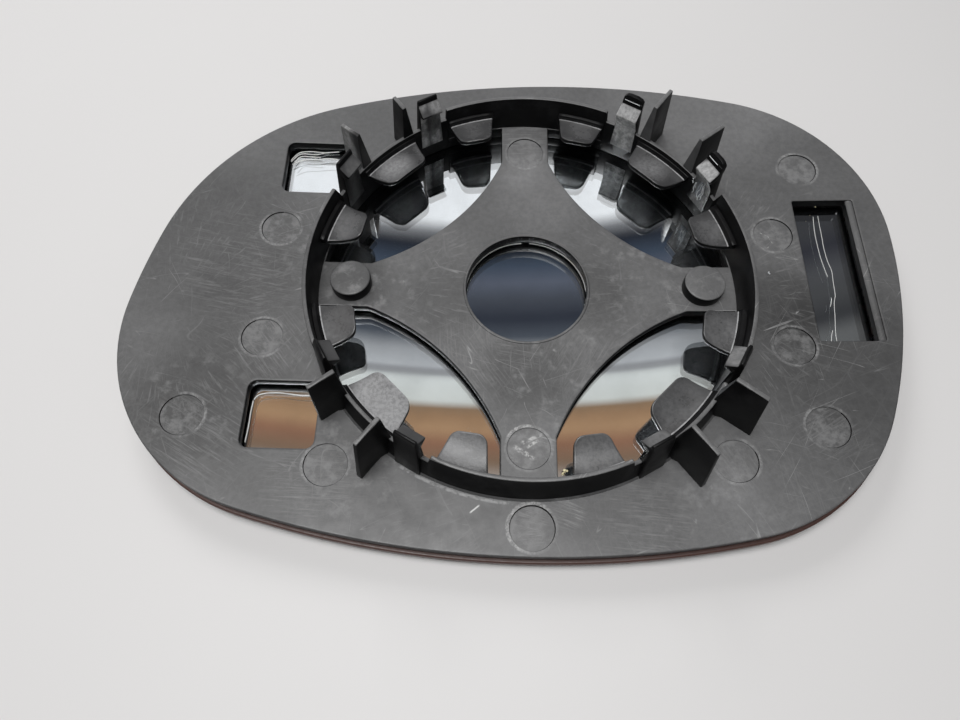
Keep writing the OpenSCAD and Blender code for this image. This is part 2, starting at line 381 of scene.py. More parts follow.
@dataclass
class Slab:
    """A sheet between two height functions, bounded in plan by loops, with rounded edges."""

    outer: Loop
    top: Height
    bottom: Height
    holes: list[Loop] = field(default_factory=list)
    recesses: list[Recess] = field(default_factory=list)
    ledges: dict[int, Callable[[Loop], list[tuple[Loop, float]]]] = field(default_factory=dict)
    edge: Edge = field(default_factory=Edge)
    grid: float = 4.0

    def cap(self, mesh: bmesh.types.BMesh, outer: Loop, holes: list[Loop], height: Height) -> None:
        """Fills the space between loops with small triangles.

        Args:
            mesh: Mesh to add to.
            outer: The outer loop.
            holes: Loops of the holes.
            height: Height of the face.
        """
        points: list[Vector] = []
        edges: list[tuple[int, int]] = []
        for loop in [outer] + holes:
            base = len(points)
            points += [Vector(p) for p in loop]
            edges += [(base + k, base + (k + 1) % len(loop)) for k in range(len(loop))]
        xs, ys = [p[0] for p in outer], [p[1] for p in outer]
        near = [Vector(p) for loop in [outer] + holes for p in loop]
        cells = {(int(p.x // (self.grid / 2)), int(p.y // (self.grid / 2))) for p in near}
        row, y = 0, min(ys)
        while y < max(ys):
            x = min(xs) + (self.grid / 2 if row % 2 else 0)
            while x < max(xs):
                cell = (int(x // (self.grid / 2)), int(y // (self.grid / 2)))
                if cell not in cells and inside((x, y), outer) and not any(inside((x, y), h) for h in holes):
                    points.append(Vector((x, y)))
                x += self.grid
            y += self.grid * 0.87
            row += 1
        verts, _, faces, *_ = delaunay_2d_cdt(points, edges, [], 0, 1e-5, False)
        made = [mesh.verts.new((v.x, v.y, height(v.x, v.y))) for v in verts]
        for group in regions([tuple(f) for f in faces], {frozenset(e) for e in edges}):
            sizes = [abs(area([tuple(verts[i]) for i in f])) for f in group]
            widest = group[sizes.index(max(sizes))]
            c = sum((verts[i] for i in widest), Vector((0, 0))) / len(widest)
            if max(sizes) > 1e-3 and inside(tuple(c), outer) and not any(inside(tuple(c), h) for h in holes):
                for f in group:
                    mesh.faces.new([made[i] for i in f])

    def band(self, mesh: bmesh.types.BMesh, rings: list[list[Vector]]) -> None:
        """Joins neighbouring rings of equal length by quads."""
        rows = [[mesh.verts.new(p) for p in ring] for ring in rings]
        for low, high in zip(rows, rows[1:]):
            count = len(low)
            for k in range(count):
                n = (k + 1) % count
                mesh.faces.new((low[k], low[n], high[n], high[k]))

    def wall(self, loop: Loop, hole: bool, ledge: list[tuple[Loop, float]]) -> list[list[Vector]]:
        """Rings of one side wall from the upper face to the lower one.

        Args:
            loop: The wall's loop.
            hole: True if the slab lies outside the loop.
            ledge: Rings between the upper edge and the wall proper, each with its depth.

        Returns:
            Rings of points in space.
        """
        side = -1 if hole else 1
        first = ledge[0][0] if ledge else loop
        rings = []
        for inset, drop in self.edge.profile():
            rings.append([Vector((x, y, self.top(x, y) - drop)) for x, y in shifted(first, side * inset)])
        for ring, deep in ledge[1:]:
            rings.append([Vector((x, y, self.top(x, y) - deep)) for x, y in ring])
        for inset, drop in reversed(self.edge.profile()):
            rings.append([Vector((x, y, self.bottom(x, y) + drop)) for x, y in shifted(loop, side * inset)])
        return rings

    def build(self, mesh: bmesh.types.BMesh) -> None:
        """Adds the slab to a mesh."""
        reach = self.edge.profile()[0][0]
        upper: list[Loop] = []
        lower: list[Loop] = []
        for i, loop in enumerate([self.outer] + self.holes):
            hole = i > 0
            ledge = self.ledges[i - 1](loop) if hole and i - 1 in self.ledges else []
            self.band(mesh, self.wall(loop, hole, ledge))
            side = -1 if hole else 1
            upper.append(shifted(ledge[0][0] if ledge else loop, side * reach))
            lower.append(shifted(loop, side * reach))
        sinks = [r.rings() for r in self.recesses]
        for rings in sinks:
            self.band(mesh, [[Vector((x, y, self.top(x, y) - deep)) for x, y in loop] for loop, deep in rings])
            floor, deep = rings[-1]
            self.cap(mesh, floor, [], lambda x, y, d=deep: self.top(x, y) - d)
        self.cap(mesh, upper[0], upper[1:] + [rings[0][0] for rings in sinks], self.top)
        self.cap(mesh, lower[0], lower[1:], self.bottom)

    def make(self, name: str) -> bpy.types.Object:
        """Returns the slab as an object."""
        mesh = bmesh.new()
        self.build(mesh)
        return baked(to_object(name, mesh))


def lathe(name: str, section: Loop, start: float, sweep: float, steps: int) -> bpy.types.Object:
    """Turns a section about the Z axis.

    Args:
        name: Name for the object.
        section: Closed loop of (radius, height), in mm.
        start: First angle, in degrees.
        sweep: Angle turned through, in degrees.
        steps: Number of steps.

    Returns:
        The object, with flat ends unless the sweep is a full turn.
    """
    mesh = bmesh.new()
    full = abs(sweep) >= 360
    rows = []
    for k in range(steps if full else steps + 1):
        a = math.radians(start + sweep * k / steps)
        rows.append([mesh.verts.new((r * math.cos(a), r * math.sin(a), z)) for r, z in section])
    pairs = list(zip(rows, rows[1:] + rows[:1])) if full else list(zip(rows, rows[1:]))
    for low, high in pairs:
        for k in range(len(section)):
            n = (k + 1) % len(section)
            face = [low[k], low[n], high[n], high[k]]
            if section[k][0] < 1e-6 and section[n][0] < 1e-6:
                continue
            mesh.faces.new(face)
    if not full:
        mesh.faces.new(rows[0])
        mesh.faces.new(rows[-1])
    return to_object(name, mesh)


def upright(name: str, profile: Loop, width: Callable[[float], float]) -> bpy.types.Object:
    """A wall that stands along a radius of the ring, drawn from the side.

    Args:
        name: Name for the object.
        profile: Closed loop of (radius, height), in mm.
        width: Width across the radius at a height, in mm.

    Returns:
        The object, on the +X axis.
    """
    mesh = bmesh.new()
    left = [mesh.verts.new((r, width(z) / 2, z)) for r, z in profile]
    right = [mesh.verts.new((r, -width(z) / 2, z)) for r, z in profile]
    mesh.faces.new(left)
    mesh.faces.new(right)
    for k in range(len(profile)):
        n = (k + 1) % len(profile)
        mesh.faces.new((left[k], left[n], right[n], right[k]))
    return to_object(name, mesh)


def lofted(name: str, sections: Sequence[Sequence[tuple[float, float, float]]], closed: bool = False) -> bpy.types.Object:
    """Skins a row of loops that have the same number of points.

    Args:
        name: Name for the object.
        sections: The loops in order, as points in mm.
        closed: True if the last loop joins the first, else both ends are capped.

    Returns:
        The object.
    """
    mesh = bmesh.new()
    rows = [[mesh.verts.new(p) for p in section] for section in sections]
    for low, high in zip(rows, rows[1:] + rows[:1] if closed else rows[1:]):
        for k in range(len(low)):
            n = (k + 1) % len(low)
            mesh.faces.new((low[k], low[n], high[n], high[k]))
    if not closed:
        mesh.faces.new(rows[0])
        mesh.faces.new(rows[-1])
    return to_object(name, mesh)


# Geometry nodes


def link(tree: bpy.types.NodeTree, out: bpy.types.NodeSocket, into: bpy.types.NodeSocket) -> None:
    """Links two sockets of a tree."""
    tree.links.new(out, into)


class RingArray:
    """Geometry nodes that stand copies of a clip round the ring at equal angles."""

    def __init__(self, material: bpy.types.Material) -> None:
        """Builds the tree.

        Args:
            material: Material that every copy gets.
        """
        tree = bpy.data.node_groups.new("ring_array", "GeometryNodeTree")
        face = tree.interface
        face.new_socket("Geometry", in_out="INPUT", socket_type="NodeSocketGeometry")
        face.new_socket("Copies", in_out="INPUT", socket_type="NodeSocketInt")
        face.new_socket("First angle", in_out="INPUT", socket_type="NodeSocketFloat")
        face.new_socket("Geometry", in_out="OUTPUT", socket_type="NodeSocketGeometry")
        nodes = tree.nodes
        start = nodes.new("NodeGroupInput")
        end = nodes.new("NodeGroupOutput")
        points = nodes.new("GeometryNodeMeshLine")
        points.mode = "OFFSET"
        points.inputs["Offset"].default_value = (0, 0, 0)
        index = nodes.new("GeometryNodeInputIndex")
        share = nodes.new("ShaderNodeMath")
        share.operation = "DIVIDE"
        share.inputs[0].default_value = math.tau
        angle = nodes.new("ShaderNodeMath")
        angle.operation = "MULTIPLY_ADD"
        turn = nodes.new("ShaderNodeCombineXYZ")
        copies = nodes.new("GeometryNodeInstanceOnPoints")
        real = nodes.new("GeometryNodeRealizeInstances")
        paint = nodes.new("GeometryNodeSetMaterial")
        paint.inputs["Material"].default_value = material
        link(tree, start.outputs["Copies"], points.inputs["Count"])
        link(tree, start.outputs["Copies"], share.inputs[1])
        link(tree, index.outputs[0], angle.inputs[0])
        link(tree, share.outputs[0], angle.inputs[1])
        link(tree, start.outputs["First angle"], angle.inputs[2])
        link(tree, angle.outputs[0], turn.inputs["Z"])
        link(tree, points.outputs[0], copies.inputs["Points"])
        link(tree, start.outputs["Geometry"], copies.inputs["Instance"])
        link(tree, turn.outputs[0], copies.inputs["Rotation"])
        link(tree, copies.outputs[0], real.inputs[0])
        link(tree, real.outputs[0], paint.inputs[0])
        link(tree, paint.outputs[0], end.inputs[0])
        self.tree = tree
        self.sockets = {s.name: s.identifier for s in face.items_tree if s.in_out == "INPUT"}

    def round(self, clip: bpy.types.Object, copies: int, first: float = 0.0) -> bpy.types.Object:
        """Replaces a clip by its copies round the ring.

        Args:
            clip: The clip, drawn on the +X axis.
            copies: How many copies in a full turn.
            first: Angle of the first one, in degrees.

        Returns:
            The same object with a plain mesh.
        """
        mod = clip.modifiers.new("ring", "NODES")
        mod.node_group = self.tree
        mod[self.sockets["Copies"]] = copies
        mod[self.sockets["First angle"]] = math.radians(first)
        return baked(clip)


class Threads:
    """Geometry nodes that draw a thread of uneven thickness along each line of a mesh."""

    def __init__(self, material: bpy.types.Material) -> None:
        """Builds the tree.

        Args:
            material: Material of the threads.
        """
        tree = bpy.data.node_groups.new("threads", "GeometryNodeTree")
        face = tree.interface
        face.new_socket("Geometry", in_out="INPUT", socket_type="NodeSocketGeometry")
        face.new_socket("Radius", in_out="INPUT", socket_type="NodeSocketFloat")
        face.new_socket("Wobble", in_out="INPUT", socket_type="NodeSocketFloat")
        face.new_socket("Geometry", in_out="OUTPUT", socket_type="NodeSocketGeometry")
        new = tree.nodes.new
        start, end = new("NodeGroupInput"), new("NodeGroupOutput")
        curve = new("GeometryNodeMeshToCurve")
        smooth = new("GeometryNodeCurveSplineType")
        smooth.spline_type = "CATMULL_ROM"
        fine = new("GeometryNodeResampleCurve")
        fine.mode = "LENGTH"
        fine.inputs["Length"].default_value = 0.25 * MM
        place = new("GeometryNodeInputPosition")
        noise = new("ShaderNodeTexNoise")
        noise.inputs["Scale"].default_value = 420
        middle = new("ShaderNodeVectorMath")
        middle.operation = "SUBTRACT"
        middle.inputs[1].default_value = (0.5, 0.5, 0.5)
        sway = new("ShaderNodeVectorMath")
        sway.operation = "SCALE"
        move = new("GeometryNodeSetPosition")
        swell = new("ShaderNodeMapRange")
        swell.inputs["From Min"].default_value = 0.3
        swell.inputs["From Max"].default_value = 0.7
        swell.inputs["To Min"].default_value = 0.55
        swell.inputs["To Max"].default_value = 1.45
        girth = new("GeometryNodeSetCurveRadius")
        ring = new("GeometryNodeCurvePrimitiveCircle")
        ring.inputs["Resolution"].default_value = 10
        sweep = new("GeometryNodeCurveToMesh")
        sweep.inputs["Fill Caps"].default_value = True
        paint = new("GeometryNodeSetMaterial")
        paint.inputs["Material"].default_value = material
        for out, into in (
            (start.outputs["Geometry"], curve.inputs["Mesh"]), (curve.outputs[0], smooth.inputs["Curve"]),
            (smooth.outputs[0], fine.inputs["Curve"]), (place.outputs[0], noise.inputs["Vector"]),
            (noise.outputs["Color"], middle.inputs[0]), (middle.outputs[0], sway.inputs[0]),
            (start.outputs["Wobble"], sway.inputs["Scale"]), (fine.outputs[0], move.inputs["Geometry"]),
            (sway.outputs[0], move.inputs["Offset"]), (noise.outputs["Fac"], swell.inputs["Value"]),
            (move.outputs[0], girth.inputs["Curve"]), (swell.outputs[0], girth.inputs["Radius"]),
            (start.outputs["Radius"], ring.inputs["Radius"]), (girth.outputs[0], sweep.inputs["Curve"]),
            (ring.outputs[0], sweep.inputs["Profile Curve"]), (sweep.outputs[0], paint.inputs["Geometry"]),
            (paint.outputs[0], end.inputs[0]),
        ):
            link(tree, out, into)
        self.tree = tree
        self.sockets = {s.name: s.identifier for s in face.items_tree if s.in_out == "INPUT"}

    def draw(self, name: str, lines: Sequence[Sequence[tuple[float, float, float]]], r: float, wobble: float) -> bpy.types.Object:
        """Draws threads.

        Args:
            name: Name for the object.
            lines: Points of each thread, in mm.
            r: Radius, in mm.
            wobble: How far a thread may stray, in mm.

        Returns:
            The object with a plain mesh.
        """
        mesh = bmesh.new()
        for line in lines:
            made = [mesh.verts.new(p) for p in line]
            for a, b in zip(made, made[1:]):
                mesh.edges.new((a, b))
        threads = to_object(name, mesh)
        mod = threads.modifiers.new("threads", "NODES")
        mod.node_group = self.tree
        mod[self.sockets["Radius"]] = r * MM
        mod[self.sockets["Wobble"]] = wobble * MM
        return baked(threads, 60)


class Crumbs:
    """Geometry nodes that lay a rough crumb on every point of a mesh."""

    def __init__(self, material: bpy.types.Material) -> None:
        """Builds the tree.

        Args:
            material: Material of the crumbs.
        """
        tree = bpy.data.node_groups.new("crumbs", "GeometryNodeTree")
        face = tree.interface
        face.new_socket("Geometry", in_out="INPUT", socket_type="NodeSocketGeometry")
        face.new_socket("Size", in_out="INPUT", socket_type="NodeSocketFloat")
        face.new_socket("Seed", in_out="INPUT", socket_type="NodeSocketInt")
        face.new_socket("Geometry", in_out="OUTPUT", socket_type="NodeSocketGeometry")
        new = tree.nodes.new
        start, end = new("NodeGroupInput"), new("NodeGroupOutput")
        ball = new("GeometryNodeMeshIcoSphere")
        ball.inputs["Subdivisions"].default_value = 3
        sizes = new("FunctionNodeRandomValue")
        sizes.data_type = "FLOAT_VECTOR"
        sizes.inputs[0].default_value = (0.5, 0.5, 0.4)
        sizes.inputs[1].default_value = (1.5, 1.3, 1.0)
        turns = new("FunctionNodeRandomValue")
        turns.data_type = "FLOAT_VECTOR"
        turns.inputs[1].default_value = (math.tau, math.tau, math.tau)
        lay = new("GeometryNodeInstanceOnPoints")
        real = new("GeometryNodeRealizeInstances")
        noise = new("ShaderNodeTexNoise")
        noise.inputs["Scale"].default_value = 2400
        middle = new("ShaderNodeVectorMath")
        middle.operation = "SUBTRACT"
        middle.inputs[1].default_value = (0.5, 0.5, 0.5)
        rough = new("ShaderNodeVectorMath")
        rough.operation = "SCALE"
        move = new("GeometryNodeSetPosition")
        place = new("GeometryNodeInputPosition")
        paint = new("GeometryNodeSetMaterial")
        paint.inputs["Material"].default_value = material
        for out, into in (
            (start.outputs["Size"], ball.inputs["Radius"]), (start.outputs["Seed"], sizes.inputs["Seed"]),
            (start.outputs["Seed"], turns.inputs["Seed"]), (start.outputs["Geometry"], lay.inputs["Points"]),
            (ball.outputs[0], lay.inputs["Instance"]), (turns.outputs[0], lay.inputs["Rotation"]),
            (sizes.outputs[0], lay.inputs["Scale"]), (lay.outputs[0], real.inputs[0]),
            (place.outputs[0], noise.inputs["Vector"]), (noise.outputs["Color"], middle.inputs[0]),
            (middle.outputs[0], rough.inputs[0]), (start.outputs["Size"], rough.inputs["Scale"]),
            (real.outputs[0], move.inputs["Geometry"]), (rough.outputs[0], move.inputs["Offset"]),
            (move.outputs[0], paint.inputs["Geometry"]), (paint.outputs[0], end.inputs[0]),
        ):
            link(tree, out, into)
        self.tree = tree
        self.sockets = {s.name: s.identifier for s in face.items_tree if s.in_out == "INPUT"}

    def lay(self, name: str, points: Sequence[tuple[float, float, float]], size: float, seed: int) -> bpy.types.Object:
        """Lays crumbs.

        Args:
            name: Name for the object.
            points: Where they lie, in mm.
            size: Their mean radius, in mm.
            seed: Seed of their shapes.

        Returns:
            The object with a plain mesh.
        """
        mesh = bmesh.new()
        for p in points:
            mesh.verts.new(p)
        crumbs = to_object(name, mesh)
        mod = crumbs.modifiers.new("crumbs", "NODES")
        mod.node_group = self.tree
        mod[self.sockets["Size"]] = size * MM
        mod[self.sockets["Seed"]] = seed
        return baked(crumbs, 50)


# Finishes


class Kit:
    """Short forms for building a material's nodes."""

    def __init__(self, name: str) -> None:
        """Starts a material with a Principled shader."""
        self.mat = bpy.data.materials.new(name)
        self.mat.use_nodes = True
        self.tree = self.mat.node_tree
        self.shader = self.tree.nodes["Principled BSDF"]
        coords = self.tree.nodes.new("ShaderNodeTexCoord")
        self.place = coords.outputs["Object"]

    def put(self, value: object, socket: bpy.types.NodeSocket) -> None:
        """Sets a socket to a value or links another socket to it."""
        if isinstance(value, bpy.types.NodeSocket):
            self.tree.links.new(value, socket)
        else:
            socket.default_value = value

    def node(self, kind: str, out: int | str = 0, **sockets: object) -> bpy.types.NodeSocket:
        """Adds a node.

        Args:
            kind: Blender's name for it, without ShaderNode.
            out: Output to return.
            **sockets: Values by socket name, with _ for a space.

        Returns:
            The output socket.
        """
        made = self.tree.nodes.new("ShaderNode" + kind)
        for name, value in sockets.items():
            self.put(value, made.inputs[name.replace("_", " ")])
        return made.outputs[out]

    def math(self, how: str, a: object, b: object = 0.0, c: object = 0.0) -> bpy.types.NodeSocket:
        """Returns the output of a Math node."""
        made = self.tree.nodes.new("ShaderNodeMath")
        made.operation = how
        for value, socket in zip((a, b, c), made.inputs):
            self.put(value, socket)
        return made.outputs[0]

    def ramp(self, value: object, low: float, high: float, a: float = 0.0, b: float = 1.0) -> bpy.types.NodeSocket:
        """Returns a value mapped smoothly from low..high to a..b."""
        made = self.tree.nodes.new("ShaderNodeMapRange")
        made.interpolation_type = "SMOOTHSTEP"
        for v, name in ((value, "Value"), (low, "From Min"), (high, "From Max"), (a, "To Min"), (b, "To Max")):
            self.put(v, made.inputs[name])
        return made.outputs[0]

    def mix(self, factor: object, a: object, b: object) -> bpy.types.NodeSocket:
        """Returns a blend of two colours."""
        made = self.tree.nodes.new("ShaderNodeMix")
        made.data_type = "RGBA"
        self.put(factor, made.inputs[0])
        self.put(a, made.inputs[6])
        self.put(b, made.inputs[7])
        return made.outputs[2]

    def noise(self, scale: float, detail: float = 3.0, rough: float = 0.55, place: object = None) -> bpy.types.NodeSocket:
        """Returns noise of about that many waves a metre."""
        return self.node(
            "TexNoise", "Fac", Vector=place or self.place, Scale=scale, Detail=detail, Roughness=rough
        )

    def bump(self, height: object, distance: float, strength: float = 1.0, under: object = None) -> bpy.types.NodeSocket:
        """Returns a bumped normal; distance is in metres."""
        made = self.tree.nodes.new("ShaderNodeBump")
        made.inputs["Strength"].default_value = strength
        made.inputs["Distance"].default_value = distance
        self.put(height, made.inputs["Height"])
        if under is not None:
            self.put(under, made.inputs["Normal"])
        return made.outputs[0]

    def gap(self, at: Point) -> bpy.types.NodeSocket:
        """Returns the distance in the plan from a point given in mm."""
        flat = self.tree.nodes.new("ShaderNodeVectorMath")
        flat.operation = "MULTIPLY"
        self.put(self.place, flat.inputs[0])
        flat.inputs[1].default_value = (1, 1, 0)
        gap = self.tree.nodes.new("ShaderNodeVectorMath")
        gap.operation = "DISTANCE"
        self.put(flat.outputs[0], gap.inputs[0])
        gap.inputs[1].default_value = (at[0] * MM, at[1] * MM, 0)
        return gap.outputs["Value"]

    def spot(self, at: Point, r: float, soft: float) -> bpy.types.NodeSocket:
        """Returns a mask that is 1 within a disc of the plan and fades out over soft, in mm."""
        return self.ramp(self.gap(at), r * MM, (r + soft) * MM, 1.0, 0.0)

    def streak(self, a: Point, b: Point, half: float) -> bpy.types.NodeSocket:
        """Returns a mask that is 1 on a straight stroke of the plan and fades out at its sides and ends.

        Args:
            a: Start, in mm.
            b: End, in mm.
            half: Half the stroke's width, in mm.
        """
        long = math.dist(a, b) / 2
        place = self.tree.nodes.new("ShaderNodeMapping")
        place.vector_type = "TEXTURE"
        self.put(self.place, place.inputs["Vector"])
        place.inputs["Location"].default_value = ((a[0] + b[0]) / 2 * MM, (a[1] + b[1]) / 2 * MM, 0)
        place.inputs["Rotation"].default_value = (0, 0, math.atan2(b[1] - a[1], b[0] - a[0]))
        place.inputs["Scale"].default_value = (long * MM, half * MM, 1)
        split = self.tree.nodes.new("ShaderNodeSeparateXYZ")
        self.put(place.outputs[0], split.inputs[0])
        ends = self.ramp(self.math("ABSOLUTE", split.outputs["X"]), 0.6, 1.0, 1.0, 0.0)
        sides = self.ramp(self.math("ABSOLUTE", split.outputs["Y"]), 0.3, 1.0, 1.0, 0.0)
        return self.math("MULTIPLY", ends, sides)

    def scaled(self, colour: object, by: object) -> bpy.types.NodeSocket:
        """Returns a colour made lighter or darker by a factor."""
        made = self.tree.nodes.new("ShaderNodeVectorMath")
        made.operation = "SCALE"
        self.put(colour, made.inputs[0])
        self.put(by, made.inputs["Scale"])
        return made.outputs[0]

    def fan(self, centre: Point, near: float, far: float) -> bpy.types.NodeSocket:
        """Returns a mask of fine strokes that run away from a point of the plan.

        Args:
            centre: The point, in mm.
            near: Where the strokes begin, in mm from the point.
            far: Where they have faded out, in mm.
        """
        split = self.tree.nodes.new("ShaderNodeSeparateXYZ")
        self.put(self.place, split.inputs[0])
        dx = self.math("SUBTRACT", split.outputs["X"], centre[0] * MM)
        dy = self.math("SUBTRACT", split.outputs["Y"], centre[1] * MM)
        gap = self.gap(centre)
        polar = self.node(
            "CombineXYZ", X=self.math("MULTIPLY", self.math("ARCTAN2", dy, dx), 0.014), Y=self.math("MULTIPLY", gap, 0.08)
        )
        strokes = self.ramp(self.noise(2400, 3.0, 0.65, polar), 0.54, 0.70)
        middle = (near + far) / 2 * MM
        reach = self.ramp(self.math("ABSOLUTE", self.math("SUBTRACT", gap, middle)), 0.2 * (middle - near * MM),
                          middle - near * MM, 1.0, 0.0)
        return self.math("MULTIPLY", strokes, reach)

    def most(self, masks: Iterable[object]) -> bpy.types.NodeSocket:
        """Returns the greatest of several masks."""
        out = None
        for mask in masks:
            out = mask if out is None else self.math("MAXIMUM", out, mask)
        return out

    def hairs(self, place: object, scale: float, width: float) -> bpy.types.NodeSocket:
        """Returns thin wandering lines: the contour lines of a smooth noise."""
        wave = self.noise(scale, 1.0, 0.4, place)
        off = self.math("ABSOLUTE", self.math("SUBTRACT", wave, 0.5))
        return self.ramp(off, 0.0, width, 1.0, 0.0)


@dataclass(frozen=True)
class HolderPlastic:
    """Charcoal moulded plastic with a fine grain, faint flow marks and scuffs, and soft patches of painted sheen and
    shade.
    """

    colour: tuple[float, float, float] = (0.103, 0.103, 0.104)
    pale: tuple[float, float, float] = (0.36, 0.36, 0.36)
    roughness: float = 0.38
    name: str = "holder_plastic"
    HAIRS = ((28, 55, 0.0), (-35, 48, 1.7), (74, 60, 3.1), (-68, 52, 4.4), (5, 45, 5.9))
    MARKS = (
        (-51.0, 12.9), (-51.2, -12.5), (-63.2, -28.9), (-36.2, -37.6), (36.9, -35.7), (54.3, -29.2), (51.2, -12.7),
        (58.7, 29.5), (51.1, 12.8), (0, 34.1), (0, -33.8), (0.4, -48.1))
    WORN = (
        ((-62, -27), 5, 10), ((-40, 8), 5, 12), ((8, -20), 8, 12), ((26, 2), 8, 12),
        ((-30, -4), 6, 10), ((-33, -36), 7, 9), ((30, -50), 6, 12))
    GOUGES = (
        ((48.4, 13.6), (50.2, 12.5), 0.1), ((49.9, 13.0), (50.9, 10.6), 0.1), ((51.0, 11.0), (49.4, 9.6), 0.1),
        ((-3.0, -33.3), (1.3, -35.9), 0.6), ((-1.9, -33.1), (2.8, -30.9), 0.5), ((-0.5, -33.7), (1.9, -32.0), 0.45))
    CUTS = (((-10.5, -45.8), (-8.6, -44.2), 0.2),)
    CHALK = (((0.4, -48.1), 4.3, (-0.6, -47.4), 3.9), ((0, -33.8), 4.3, (-1.8, -30.2), 1.8))
    SCRUBS = (
        ((0, 38.5), 6.0, 92, 1.0), ((0.4, -46.4), 3.0, 75, 1.1),
        ((0.4, -50.0), 2.6, 95, 1.0), ((-38, -40), 10.0, 88, 0.5), ((-9, -17), 9.0, 35, 0.5), ((10, -16), 9.0, -30, 0.5),
        ((-2, -13.5), 6.0, 80, 0.6), ((-60, -32), 12.0, 60, 0.5), ((-58, 4), 15.0, 80, 0.45), ((-50, -14), 8.0, 40, 0.7),
        ((37, -36), 6.0, 30, 0.5), ((54, -30), 6.0, -60, 0.6), ((20, -46), 10.0, 85, 0.5),
        ((6.5, -45), 3.5, 70, 1.1), ((-12, -13), 7.0, 5, 0.5))
    FANS = (((35.1, 0), 6.0, 34.0, 0.42), ((-35.1, 0), 6.0, 32.0, 0.4), ((4, -40), 12.0, 36.0, 0.35), ((-70, -8), 3.0, 34.0, 0.4))
    # Painted sheen and shade: soft patches where the plate's colour is made lighter or darker to stand for uneven light
    # on it; columns are centre, radius, fade width and change of tone.
    PAINTED_SHEEN_AND_SHADE = (
        ((-60, -26), 6, 14, -0.5), ((60, -18), 8, 18, -0.40), ((0, -19), 4, 9, -0.40), ((-36, 0), 5, 6, -0.32),
        ((-34, -44), 8, 14, -0.26), ((36, -47), 5, 10, 0.34), ((2, 22), 5, 8, 0.28), ((-3, 33), 5, 6, 0.4),
        ((24, 4), 4, 7, 0.1), ((14, -2), 4, 6, -0.26), ((-15, -2), 4, 7, -0.2), ((-62, 8), 10, 16, -0.3), ((40, 50), 10, 18, 0.45),
        ((50, -3), 4, 8, -0.42), ((0, -34), 5, 6, 0.15))

    def scratches(self, kit: Kit) -> bpy.types.NodeSocket:
        """Hair scratches in five directions, in patches.

        Args:
            kit: The material's nodes.

        Returns:
            A mask that is 1 on a scratch.
        """
        layers = []
        for turn, scale, seed in self.HAIRS:
            place = kit.tree.nodes.new("ShaderNodeMapping")
            kit.put(kit.place, place.inputs["Vector"])
            place.vector_type = "TEXTURE"
            place.inputs["Rotation"].default_value = (0, 0, math.radians(turn))
            place.inputs["Location"].default_value = (seed, seed * 0.7, 0)
            place.inputs["Scale"].default_value = (0.14, 2.0, 1.0)
            fine = kit.math("MULTIPLY", kit.hairs(place.outputs[0], scale * 2.6, 0.03), 0.15)
            fine = kit.math("MULTIPLY", fine, kit.ramp(kit.noise(60, 2.0, 0.5, place.outputs[0]), 0.46, 0.62))
            long = kit.math("MULTIPLY", kit.hairs(place.outputs[0], scale, 0.006),
                            kit.ramp(kit.noise(95, 2.0, 0.5, place.outputs[0]), 0.58, 0.66))
            layers += [fine, long]
        swirls = kit.math("MULTIPLY", kit.hairs(kit.place, 62, 0.0035), kit.ramp(kit.noise(70, 2.0, 0.5), 0.55, 0.65))
        patches = kit.ramp(kit.noise(26, 2.0, 0.5), 0.42, 0.62, 0.25, 1.0)
        split = kit.tree.nodes.new("ShaderNodeSeparateXYZ")
        kit.put(kit.place, split.inputs[0])
        fade = kit.ramp(split.outputs["Y"], 0.006, 0.034, 1.0, 0.15)
        return kit.math("MULTIPLY", kit.math("MULTIPLY", kit.most([*layers, swirls]), patches), fade)

    def scrub(self, kit: Kit, at: Point, r: float, turn: float, amount: float) -> bpy.types.NodeSocket:
        """A patch rubbed in one direction.

        Args:
            kit: The material's nodes.
            at: Its middle, in mm.
            r: Its radius, in mm.
            turn: Direction across the strokes, in degrees.
            amount: How strongly it is rubbed.

        Returns:
            A mask of its strokes.
        """
        place = kit.tree.nodes.new("ShaderNodeMapping")
        place.vector_type = "TEXTURE"
        kit.put(kit.place, place.inputs["Vector"])
        place.inputs["Rotation"].default_value = (0, 0, math.radians(turn))
        place.inputs["Scale"].default_value = (0.085, 1.6, 1.0)
        strokes = kit.ramp(kit.noise(230, 4.0, 0.75, place.outputs[0]), 0.47, 0.70, 0.0, amount)
        return kit.math("MULTIPLY", strokes, kit.spot(at, r * 0.45, r * 0.75))

    def make(self) -> bpy.types.Material:
        """Returns the material."""
        kit = Kit(self.name)
        cloud = kit.noise(34, 4.0, 0.6)
        flow = kit.noise(260, 3.0, 0.6)
        grain = kit.noise(5200, 2.0, 0.6)
        coarse = kit.noise(1500, 2.0, 0.5)
        base = kit.mix(kit.ramp(cloud, 0.3, 0.7), tuple(c * 0.86 for c in self.colour) + (1,), tuple(c * 1.16 for c in self.colour) + (1,))
